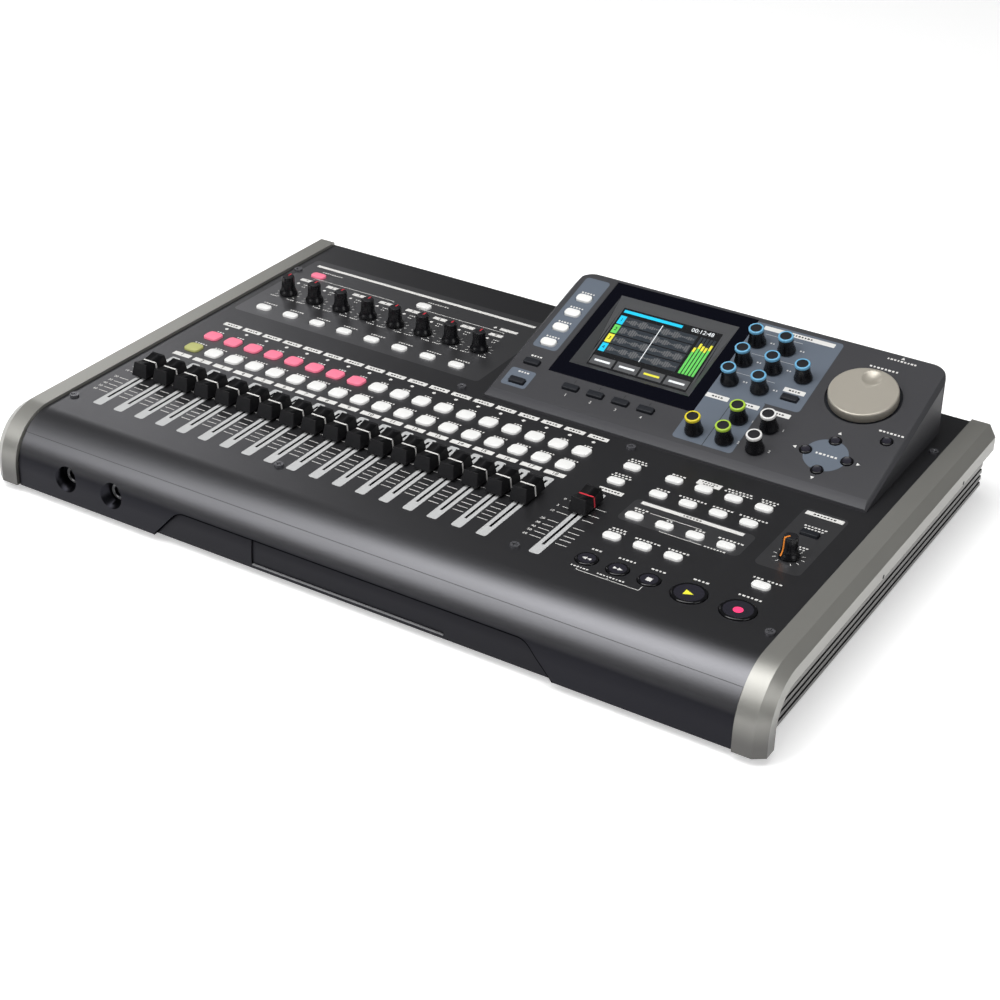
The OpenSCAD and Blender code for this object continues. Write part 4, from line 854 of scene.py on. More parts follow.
@dataclass
class Casing:
    """The shell: panel, bezel, cheeks, pan, feet, screws and the hidden inside."""

    insert_half: float = 137.0
    insert_top: float = 25.4
    insert_sink: float = 0.6
    groove_x: Point = (248.0, 250.2)
    groove_slope: float = 0.5
    insert_ends: tuple[Point, ...] = ((117.0, 25.1), (135.0, 5.0))
    insert_edge: float = 0.7
    insert_r: float = 12.0
    corner_steps: int = 6
    side_steps: int = 4
    gap_sink: float = 0.1
    gap_depth: float = 2.0
    plate_highlight: Triple = (64.6, 6.95, 0.6)
    plate_h: float = -2.6
    plate_depth: float = 1.2
    seam_angle: float = 45.0
    seam_half: Point = (239.0, 0.14)
    hole_y: Floats = (-18.0, 105.0)
    hole_z: float = 36.6
    hole_d: float = 2.6
    hole_h: Point = (-0.6, 0.06)
    hole_edge: float = 0.05
    inner: dict[str, Finish] = field(default_factory=lambda: {
        "slide_pots": POT_STEEL, "rotary_controls": POT_STEEL, "circuit_boards": BOARD_GREEN})

    def dress(self) -> None:
        """Builds the shell's pieces."""
        softened("top_panel", CHASSIS, PANEL_PAINT, rolled=True)
        softened("front_bezel", CHASSIS, BEZEL_PAINT_SHADED, pick=self.bezel_tone, rolled=True)
        softened("side_cheeks", CHASSIS, SILVER_PAINT_SHADED, pick=self.cheek_tone, rolled=True, sharp=12.0)
        self.trims()
        softened("bottom_pan", CHASSIS, PAN_PAINT, 0.3, 30.0)
        softened("feet", CHASSIS, RUBBER)
        softened("screws", CHASSIS, SCREW_BLACK)
        for node, finish in self.inner.items():
            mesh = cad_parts[node].data
            mesh.materials.clear()
            mesh.materials.append(finish.material())
            LOG.info("%s: own mesh with %s", node, finish.name)

    def bezel_tone(self, middle: Vector, normal: Vector) -> Finish:
        """Makes the insert darker than the bezel round it.

        Args:
            middle: Middle of a face.
            normal: Direction that it faces; not used.

        Returns:
            Its finish.
        """
        inside = abs(middle.x) < self.insert_half and middle.z < self.insert_top
        down = math.hypot(min(middle.y - ROLL_Y, 0.0), max(middle.z - ROLL_Z, 0.0))
        return INSERT_BLACK if inside and down < ROLL_R - self.insert_sink else BEZEL_PAINT_SHADED

    def cheek_tone(self, middle: Vector, normal: Vector) -> Finish:
        """Paints shade into the grooves of the cheeks' side walls with a darker finish."""
        deep = self.groove_x[0] < abs(middle.x) < self.groove_x[1]
        # Groove floors take a darker finish: painted shade.
        return GROOVE_SHADE_AND_SEAM if deep and abs(normal.y) < self.groove_slope else SILVER_PAINT_SHADED

    def trims(self) -> None:
        """Builds the insert's gap, a pale strip along the plate's lower edge as a painted highlight, the
        panel's seam and the right cheek's fasteners.
        """
        work = Build(FRONT)
        # Pale strip along the plate's lower edge: a painted highlight.
        half, z, tall = self.plate_highlight
        low = z - FRONT.origin[2]
        work.prism(block((-half, low), (half, low + tall)), self.plate_h - self.plate_depth, self.plate_h,
                   LEDGE_HIGHLIGHT)
        self.insert_gap(work)
        work.piece("insert_trim", CHASSIS, "bezel")
        turn = math.radians(self.seam_angle)
        seam = Build(Plane((0.0, ROLL_Y - ROLL_R * math.sin(turn), ROLL_Z + ROLL_R * math.cos(turn)),
                           self.seam_angle))
        long, wide = self.seam_half
        seam.ink(block((-long, -wide), (long, wide)), GROOVE_SHADE_AND_SEAM)
        seam.piece("panel_seam", CHASSIS, "panel")
        holes = Build(SIDE)
        for y in self.hole_y:
            holes.prism(disc((y, self.hole_z), self.hole_d, 20), *self.hole_h, INK_BLACK, self.hole_edge,
                        -self.hole_edge)
        holes.piece("cheek_fasteners", CHASSIS, "screw")

    def insert_gap(self, work: Build) -> None:
        """Adds the dark gap round the insert, which follows the roll.

        Args:
            work: Piece on the front plane.
        """
        (top, high), (foot, low) = self.insert_ends
        r, edge, steps = self.insert_r, self.insert_edge, self.side_steps
        lean = math.atan2(high - low, foot - top)
        start = top - r * math.tan(lean / 2)
        bend = [lean * k / self.corner_steps for k in range(self.corner_steps + 1)]
        path = [(start + r * math.sin(a), high - r * (1.0 - math.cos(a))) for a in bend]
        x, z = path[-1]
        path += [(x + (foot - x) * k / steps, z + (low - z) * k / steps) for k in range(1, steps + 1)]
        inner = [(x - edge * math.sin(a), z - edge * math.cos(a))
                 for (x, z), a in zip(path, bend + [lean] * steps)]

        def spot(x: float, z: float) -> Triple:
            """Places a point just behind the bezel's surface."""
            rise = max(z - ROLL_Z, 0.0)
            return x, z - FRONT.origin[2], math.sqrt(ROLL_R ** 2 - rise ** 2) - ROLL_R - self.gap_sink

        def strip(corners: Sequence[Point]) -> None:
            """Adds one stretch of the gap as a closed solid."""
            front = [spot(*c) for c in corners]
            work.skin([[(x, b, h - self.gap_depth) for x, b, h in front], front], GAP_BLACK)
        strip(((-start, high - edge), (start, high - edge), (start, high), (-start, high)))
        for k, ((x0, z0), (x1, z1)) in enumerate(zip(path, path[1:])):
            (u0, w0), (u1, w1) = inner[k:k + 2]
            strip(((u0, w0), (u1, w1), (x1, z1), (x0, z0)))
            strip(((-x0, z0), (-x1, z1), (-u1, w1), (-u0, w0)))


@dataclass(frozen=True)
class PanelLayout:
    """Columns and rows that the prints, keys, faders and knobs of the top panel share."""

    channels: int = 18
    inputs: int = 8
    channel_x: float = -216.18
    channel_pitch: float = 16.22
    input_pitch: float = 21.86
    master_x: float = 93.48
    edit_x: float = 120.98
    edit_pitch: float = 19.0
    play_x: float = 182.78
    monitor_x: float = 211.38
    record_f: float = 159.9
    select_f: float = 140.1
    locate_f: float = 111.4
    mode_f: float = 85.5
    transport_f: float = 57.6
    trim_f: float = 241.0
    monitor_f: float = 120.7

    def channel(self, i: int) -> float:
        """Gives a channel's place across the panel."""
        return self.channel_x + i * self.channel_pitch

    def entry(self, j: int) -> float:
        """Gives an input's place across the panel."""
        return self.channel_x + j * self.input_pitch

    def edit(self, column: int) -> float:
        """Gives the place of a column of edit keys across the panel."""
        return self.edit_x + column * self.edit_pitch


LAYOUT = PanelLayout()


@dataclass
class PanelPrint:
    """Strips, scales, lines and marks on the top panel; words are rows of marks by place, count and size."""

    ticks: Floats = (106.7, 98.6, 91.9, 81.8, 76.4, 71.6, 67.2, 62.4)
    scale: tuple[str, ...] = ("0", "5", "10", "20", "30", "40", "50", "60")
    tick_x: Point = (-11.3, -4.9)
    master_ticks: tuple[Point, ...] = ((-11.2, -4.6), (5.2, 11.9))
    tick_w: float = 0.45
    scale_x: float = -14.4
    scale_size: float = 2.9
    strip: Point = (13.5, 4.2)
    strip_f: float = 180.2
    dot_f: float = 174.0
    dot_d: float = 2.4
    dot_steps: int = 16
    key_marks: tuple[tuple[float, int], ...] = ((167.6, 3), (147.6, 5))
    number_f: float = 128.5
    number_size: float = 4.2
    track_f: Point = (47.0, 123.0)
    track_w: float = 6.6
    track_r: float = 1.4
    slot: float = 0.8
    slot_f: Point = (57.4, 119.4)
    master_at: Point = (LAYOUT.master_x + 2.8, 128.7)
    master_strip: Point = (16.0, 4.2)
    line_w: float = 0.4
    over: Point = (6.3, 2.5)
    over_size: float = 1.9
    labels: tuple[tuple[int, float, tuple[int, ...]], ...] = (
        (0, LAYOUT.record_f, (4,)), (2, LAYOUT.record_f, (7, 8)), (3, LAYOUT.record_f, (5, 4)),
        (0, LAYOUT.select_f, (4,)), (1, LAYOUT.select_f, (8,)), (2, LAYOUT.select_f, (6,)),
        (3, LAYOUT.select_f, (8,)), (0, LAYOUT.locate_f, (4, 3)), (1, LAYOUT.locate_f, (2,)),
        (2, LAYOUT.locate_f, (3,)), (3, LAYOUT.locate_f, (7,)), (0, LAYOUT.mode_f, (4, 5)),
        (1, LAYOUT.mode_f, (7,)), (2, LAYOUT.mode_f, (6,)))
    tall_label: tuple[float, Point] = (167.1, (15.0, 5.4))
    tall_marks: tuple[tuple[float, int], ...] = ((168.2, 6), (166.0, 4))
    tall_size: float = 1.5
    locate_label: Pair = ((149.1, 127.6), (64.0, 3.2))
    locate_lines: Paths = (
        ((127.0, 119.6), (159.0, 119.6), (159.0, 118.4)), ((140.0, 119.6), (140.0, 118.4)),
        ((140.0, 105.6), (140.0, 104.9), (166.0, 104.9)), ((159.0, 105.6), (159.0, 104.9)))
    monitor_label: Pair = ((LAYOUT.monitor_x - 0.5, 170.1), (23.0, 4.0))
    monitor_dial: Point = (7.4, 9.0)
    transport_lines: Paths = (
        ((120.9, 47.0), (120.9, 45.6), (159.0, 45.6), (159.0, 49.8)), ((139.6, 47.0), (139.6, 45.6)))
    transport_line_w: float = 0.36
    words: Words = (
        ((174.2, 104.9), 7, 1.6),
        ((LAYOUT.monitor_x - 4.6, 91.9), 3, 1.9), ((LAYOUT.monitor_x + 5.0, 91.9), 4, 1.9),
        ((LAYOUT.monitor_x, 154.0), 6, 1.7), ((LAYOUT.monitor_x, 131.0), 5, 1.7),
        ((LAYOUT.monitor_x, 156.6), 7, 1.7), ((LAYOUT.monitor_x, 133.4), 6, 1.7),
        ((LAYOUT.edit(0), 68.6), 3, 1.9), ((LAYOUT.edit(1), 68.6), 5, 1.9), ((LAYOUT.edit(2), 68.6), 4, 1.9),
        ((LAYOUT.edit(0) + 0.6, 48.4), 6, 1.6), ((LAYOUT.edit(1) + 0.6, 48.4), 9, 1.6),
        ((LAYOUT.play_x, 72.0), 4, 2.0), ((LAYOUT.monitor_x, 72.0), 6, 2.0))
    head_bar: Pair = ((-227.0, 288.6), (-50.0, 291.4))
    head_words: Words = (((-209.5, 283.0), 9, 1.6), ((-122.0, 283.0), 9, 1.6))
    brackets: tuple[Point, ...] = ((-216.0, -150.0), (-128.5, -62.5))
    bracket_f: Point = (269.8, 271.2)
    lamp_d: float = 2.2
    head_lamp: Point = (-71.9, 275.3)
    head_strip: Pair = ((-61.5, 275.3), (13.0, 3.2))
    input_label: Pair = ((-2.3, 265.4), (10.0, 3.6))
    input_size: float = 3.3
    input_lamp: Point = (-4.8, 258.8)
    input_dial: Point = (7.3, 8.8)
    lamp_words: Words = (((1.8, 258.8), 3, 1.4), ((1.8, 255.4), 2, 1.4))
    dial_words: Words = (
        ((-7.4, 233.6), 3, 1.4), ((7.4, 233.6), 3, 1.4), ((0.0, 221.2), 6, 1.6))

    def dress(self) -> None:
        """Builds the prints as one piece."""
        work = Build(PANEL)
        self.channel_prints(work)
        self.master_prints(work)
        self.edit_prints(work)
        self.input_prints(work)
        work.piece("panel_print", CHASSIS, "panel")

    @staticmethod
    def write(work: Build, words: Words, x: float = 0.0) -> None:
        """Prints rows of marks, moved across the panel by x."""
        for (a, f), count, size in words:
            work.marks((x + a, f), count, size)

    def over_key(self, work: Build, at: Point, lines: Sequence[int]) -> None:
        """Prints rows of marks over a key, with the upper row first in the list."""
        gap, pitch = self.over
        for k, count in enumerate(reversed(lines)):
            work.marks((at[0], at[1] + gap + pitch * k), count, self.over_size)

    def channel_prints(self, work: Build) -> None:
        """Prints strips, dots, numbers and fader scales of the channels.

        Args:
            work: Piece to add to.
        """
        for i in range(LAYOUT.channels):
            x = LAYOUT.channel(i)
            work.label((x, self.strip_f), self.strip, 4)
            work.ink(disc((x, self.dot_f), self.dot_d, self.dot_steps))
            for f, count in self.key_marks:
                work.marks((x, f), count, 1.7)
            work.label((x, self.number_f), self.strip, str(i + 1), self.number_size)
            self.track(work, x)
            for f in self.ticks:
                work.line([(x + a, f) for a in self.tick_x], self.tick_w)
        for f, text in zip(self.ticks, self.scale):
            work.number(text, (LAYOUT.channel_x + self.scale_x, f), self.scale_size)

    def track(self, work: Build, x: float) -> None:
        """Prints the two pale strips beside a fader slot and closes them at its ends.

        Args:
            work: Piece to add to.
            x: Place of the slot across the panel.
        """
        low, high = self.track_f
        part = 5
        ends = rounded((x, (low + high) / 2), self.track_w, high - low, self.track_r, part - 1)
        work.ink([*ends[3 * part:], *ends[:part], (x + self.slot, high), (x + self.slot, low)], INK_GREY)
        work.ink([*ends[part:3 * part], (x - self.slot, low), (x - self.slot, high)], INK_GREY)
        for near, far in ((low, self.slot_f[0]), (self.slot_f[1], high)):
            work.ink(block((x - self.slot, near), (x + self.slot, far)), INK_GREY)

    def master_prints(self, work: Build) -> None:
        """Prints the master fader's strip and scale.

        Args:
            work: Piece to add to.
        """
        x = LAYOUT.master_x
        self.track(work, x)
        work.label(self.master_at, self.master_strip, 6)
        for f, text in zip(self.ticks, self.scale):
            for ends in self.master_ticks:
                work.line([(x + a, f) for a in ends], self.tick_w)
            work.number(text, (x + self.scale_x, f), self.scale_size)
        for f in (LAYOUT.record_f, LAYOUT.select_f):
            self.over_key(work, (x, f), (5, 6))

    def edit_prints(self, work: Build) -> None:
        """Prints the labels, lines and bars round the edit, locate, monitor and transport keys.

        Args:
            work: Piece to add to.
        """
        for column, f, lines in self.labels:
            self.over_key(work, (LAYOUT.edit(column), f), lines)
        f, size = self.tall_label
        work.ink(rounded((LAYOUT.edit(1), f), *size, 0.4))
        for f, count in self.tall_marks:
            work.marks((LAYOUT.edit(1), f), count, self.tall_size, INK_DARK, INK_TOP)
        work.label(*self.locate_label, 6, r=0.4)
        for points in self.locate_lines:
            work.line(points, self.line_w)
        work.label(*self.monitor_label, 7)
        self.dial(work, (LAYOUT.monitor_x, LAYOUT.monitor_f), self.monitor_dial)
        for points in self.transport_lines:
            work.line(points, self.transport_line_w)
        self.write(work, self.words)

    def dial(self, work: Build, at: Point, ends: Point, count: int = 11) -> None:
        """Prints ticks round a knob.

        Args:
            work: Piece to add to.
            at: Middle of the knob.
            ends: Inner and outer radius of the ticks.
            count: How many ticks.
        """
        for k in range(count):
            a = math.radians(240.0 - 300.0 * k / (count - 1))
            work.line([around(at, r, a) for r in ends], self.line_w)

    def input_prints(self, work: Build) -> None:
        """Prints the input section.

        Args:
            work: Piece to add to.
        """
        work.ink(block(*self.head_bar))
        self.write(work, self.head_words)
        near, far = self.bracket_f
        for low, high in self.brackets:
            work.line([(low, near), (low, far), (high, far), (high, near)], self.line_w)
        work.ink(disc(self.head_lamp, self.lamp_d, self.dot_steps))
        at, size = self.head_strip
        work.ink(rounded(at, *size, 0.3))
        for j in range(LAYOUT.inputs):
            x = LAYOUT.entry(j)
            (a, f), size = self.input_label
            work.label((x + a, f), size, str(j + 1), self.input_size)
            a, f = self.input_lamp
            work.ink(disc((x + a, f), self.lamp_d, self.dot_steps))
            self.write(work, self.lamp_words, x)
            self.dial(work, (x, LAYOUT.trim_f), self.input_dial)
            self.write(work, self.dial_words, x)


KEY_LOW = -3.0
SIGN_LIFT = 0.04


@dataclass(frozen=True)
class KeyForm:
    """Form of a domed key.

    Attributes:
        size: Width, length and corner radius.
        proud: Height of the top's rim.
        edge: Radius of the top edge.
        dome: Rise of the top's middle.
    """

    size: Triple
    proud: float = 1.3
    edge: float = 0.6
    dome: float = 0.25

    def add(self, work: Build, at: Point, finish: Finish) -> None:
        """Adds one key to a piece."""
        work.prism(rounded(at, *self.size), KEY_LOW, self.proud, finish, self.edge, self.dome)


CHANNEL_KEY = KeyForm((10.8, 10.0, 3.0))
LIT_KEY = KeyForm((10.5, 6.6, 2.6))
SOFT_KEY = KeyForm((10.6, 4.6, 0.8), 1.8, 0.4, 0.08)


@dataclass(frozen=True)
class DishKey:
    """Form of a round key with a rolled rim and a dished top.

    Attributes:
        d: Diameter.
        sink: Depth of the dish.
        proud: Height of the rim.
        lip: Depth of the dish's edge below the rim.
    """

    d: float
    sink: float
    proud: float = 0.9
    lip: float = 0.03

    def sign_h(self) -> float:
        """Gives the height of a sign on the dish."""
        return self.proud - self.sink + SIGN_LIFT

    def add(self, work: Build, at: Point) -> None:
        """Adds one key to a piece.

        Args:
            work: Piece to add to.
            at: Middle of the key.
        """
        r, proud, floor = self.d / 2, self.proud, self.proud - self.lip
        rim = min(0.1 * self.d, 0.9)
        edge = [(r, KEY_LOW), (r, proud - rim), (r - 0.12 * rim, proud - 0.5 * rim),
                (r - 0.42 * rim, proud - 0.12 * rim), (r - 0.75 * rim, proud), (r - rim, floor)]
        dish = [(s * (r - rim), floor - (self.sink - self.lip) * (1 - s * s)) for s in (0.9, 0.75, 0.55, 0.3)]
        tones = [RIM_BLACK] * len(edge) + [DISH_BLACK] * len(dish)
        work.lathe(at, edge + dish + [(0.0, proud - self.sink)], tones, 56)


@dataclass
class PanelKeys:
    """Lit keys and round transport keys on the top panel."""

    source_f: float = 213.8
    phantom_f: float = 275.6
    phantom_step: int = 4
    soft_f: float = 148.2
    pink_records: int = 8
    small: DishKey = DishKey(12.8, 0.03 * 12.8)
    large: DishKey = DishKey(20.0, 0.03 * 20.0)
    wind: Point = (1.6, 2.9)
    stop_size: Triple = (3.2, 3.2, 0.2)
    play_size: float = 5.4
    dot_d: float = 5.6
    dot_lift: float = 0.05
    arrow_wide: float = 0.95

    def dress(self) -> None:
        """Builds the key groups."""
        record, select, source = Build(PANEL), Build(PANEL), Build(PANEL)
        for i in range(LAYOUT.channels):
            x = LAYOUT.channel(i)
            CHANNEL_KEY.add(record, (x, LAYOUT.record_f), LIT_PINK if i < self.pink_records else LIT_WHITE)
            CHANNEL_KEY.add(select, (x, LAYOUT.select_f), LIT_WHITE if i else LIT_OLIVE)
        for j in range(LAYOUT.inputs):
            LIT_KEY.add(source, (LAYOUT.entry(j), self.source_f), LIT_WHITE)
        for k, tone in enumerate((LIT_PINK, LIT_WHITE)):
            LIT_KEY.add(source, (LAYOUT.entry(self.phantom_step * k), self.phantom_f), tone)
        record.piece("record_keys_lit", "record_keys", "record_key", "record_keys")
        select.piece("select_keys_lit", "select_keys", "lit_key", "select_keys")
        source.piece("input_keys_lit", "input_keys", "lit_key", "input_keys")
        self.edit_group()
        self.transport_group()

    def edit_group(self) -> None:
        """Builds the edit, locate and monitor keys."""
        work = Build(PANEL)
        record_f, select_f, mode_f = LAYOUT.record_f, LAYOUT.select_f, LAYOUT.mode_f
        spots = [(LAYOUT.edit(c), f) for f in (record_f, select_f, LAYOUT.locate_f) for c in range(4)]
        spots += [(LAYOUT.edit(c), mode_f) for c in range(3)]
        spots += [(LAYOUT.master_x, record_f), (LAYOUT.master_x, select_f), (LAYOUT.monitor_x, mode_f)]
        for spot in spots:
            LIT_KEY.add(work, spot, LIT_WHITE)
        SOFT_KEY.add(work, (LAYOUT.monitor_x, self.soft_f), KEY_DARK_AND_RECESS_SHADE)
        work.piece("edit_keys_lit", "edit_keys", "lit_key", "edit_keys")

    def transport_group(self) -> None:
        """Builds the dished round keys with their signs."""
        work = Build(PANEL)
        f, wide = LAYOUT.transport_f, self.arrow_wide
        back, ahead, stop = (LAYOUT.edit(c) for c in range(3))
        for x in (back, ahead, stop):
            self.small.add(work, (x, f))
        for x in (LAYOUT.play_x, LAYOUT.monitor_x):
            self.large.add(work, (x, f))
        low = self.small.sign_h()
        step, size = self.wind
        for shift in (-step, step):
            work.ink(arrow((back + shift, f), size, Way.LEFT, wide), INK_WHITE, low)
            work.ink(arrow((ahead + shift, f), size, Way.RIGHT, wide), INK_WHITE, low)
        work.ink(rounded((stop, f), *self.stop_size), INK_WHITE, low)
        low = self.large.sign_h()
        work.ink(arrow((LAYOUT.play_x, f), self.play_size, Way.RIGHT, wide), MARK_YELLOW, low)
        work.ink(disc((LAYOUT.monitor_x, f), self.dot_d), DOT_PINK, low + self.dot_lift)
        work.piece("transport_keys_round", "transport_keys", "dark_key", "transport_keys")


@dataclass
class Faders:
    """Fader caps with their cross lines."""

    channel_f: float = 97.3
    master_f: float = 105.0
    base: float = 1.5
    height: float = 8.9
    hollow: float = 2.1
    half_w: float = 5.7
    taper: float = 1.0
    line: float = 1.25
    line_depth: float = 0.3
    line_shrink: float = 0.93
    edge: float = 0.45
    least_edge: float = 3.0
    foot: float = 1.0

    def dress(self) -> None:
        """Builds all caps."""
        for i in range(LAYOUT.channels):
            self.cap(f"channel_fader_{i + 1:02d}", (LAYOUT.channel(i), self.channel_f), INK_WHITE)
        self.cap("master_fader", (LAYOUT.master_x, self.master_f), LINE_RED)

    def cap(self, name: str, at: Point, finish: Finish) -> None:
        """Softens one CAD cap and lays its line over it.

        Args:
            name: Node and body of the fader.
            at: Middle of the cap.
            finish: Finish of the line.
        """
        top = self.base + self.height - self.hollow
        slope = self.taper / self.height
        edge = self.half_w - slope * (top - self.base)
        side = [(self.half_w + 0.03, self.base + 0.4), (edge + 0.1, top - 0.42), (edge - 0.1, top - 0.06),
                (edge - 0.42, top + 0.04)]
        path = [(-x, h) for x, h in side] + side[::-1]
        inner = [(x * self.line_shrink, h - self.line_depth) for x, h in path]
        ring = [(at[0] + x, h) for x, h in [*path[::-1], *inner]]
        band = Build(PANEL)
        band.skin([[(x, at[1] + y, h) for x, h in ring] for y in (self.line / 2, -self.line / 2)], finish)
        lowest = PANEL.origin[2] + self.foot
        softened(name, name, CAP_BLACK, self.edge, self.least_edge, where=lambda p: p.z > lowest,
                 extra=band)


@dataclass
class Knobs:
    """Trim knobs and the monitor knob."""

    shaft_r: float = 3.0
    shaft_low: float = -4.0
    base_r: float = 6.1
    top_r: float = 4.3
    height: float = 13.4
    gap: float = 0.6
    flats: int = 12
    flat_depth: float = 0.14
    flat_start: float = 5.0
    flat_run: float = 3.0
    pointer_half: float = 0.5
    pointer_depth: float = 0.4
    pointer_least: float = 0.3
    trim_angle: float = 90.0
    monitor_angle: float = 240.0

    def dress(self) -> None:
        """Builds the knobs."""
        for j in range(LAYOUT.inputs):
            at = (LAYOUT.entry(j), LAYOUT.trim_f)
            self.knob(f"trim_knob_{j + 1}", at, LINE_RED, self.trim_angle, False)
        self.knob("monitor_knob", (LAYOUT.monitor_x, LAYOUT.monitor_f), LINE_ORANGE, self.monitor_angle, True)

    def profile(self) -> list[Point]:
        """Gives radius and height of the bell from the shaft's end to the top's middle.

        Returns:
            The profile, from below.
        """
        g, b, t, h = self.gap, self.base_r, self.top_r, self.height
        bell = [(b - 0.3, g), (b, g + 0.3), (b, g + 1.2), (b - 0.15, g + 1.6), (b - 0.75, g + 2.6),
                (b - 1.2, g + 3.6), (t + 0.3, g + 5.2), (t + 0.12, g + 7.5), (t, h - 0.7),
                (t - 0.25, h - 0.2), (t - 0.7, h)]
        return [(self.shaft_r, self.shaft_low), (self.shaft_r, g), *bell, (2.2, h + 0.06), (0.0, h + 0.08)]

    def knob(self, name: str, at: Point, finish: Finish, angle: float, tall: bool) -> None:
        """Builds one knob.

        Args:
            name: Node and body of the knob.
            at: Its place on the panel.
            finish: Finish of the pointer.
            angle: Direction of the pointer in degrees.
            tall: Whether the pointer runs down the side.
        """
        work = Build(PANEL)
        profile = self.profile()
        turn = math.radians(angle)

        def flute(a: float, r: float, h: float) -> float:
            """Cuts shallow flats into the upper part."""
            if h > self.height - 0.1:
                return r
            share = min(max((h - self.flat_start) / self.flat_run, 0.0), 1.0)
            wave = math.cos(self.flats * (a - turn - math.pi / self.flats))
            return r - share * self.flat_depth * (1 + wave)
        work.lathe(at, profile, [KNOB_BLACK] * (len(profile) - 4) + [KNOB_TOP] * 3, 72, flute)
        g, b, t, h = self.gap, self.base_r, self.top_r, self.height
        path = [(0.6, h + 0.1), (t - 0.5, h + 0.06)]
        if tall:
            path += [(t + 0.04, h - 0.7), (t + 0.16, g + 7.5), (t + 0.36, g + 5.2), (b - 1.1, g + 3.6),
                     (b - 0.05, g + 1.6)]
        else:
            path += [(t - 0.1, h - 0.25), (t + 0.06, h - 0.9)]
        deep = self.pointer_depth
        ring = [*path, *[(max(r - deep, self.pointer_least), z - deep) for r, z in path[::-1]]]
        ends = []
        for side in (self.pointer_half, -self.pointer_half):
            foot = (at[0] - side * math.sin(turn), at[1] + side * math.cos(turn))
            ends.append([(*around(foot, r, turn), z) for r, z in ring])
        work.skin(ends, finish)
        work.piece(name + "_bell", name, "knob", name)


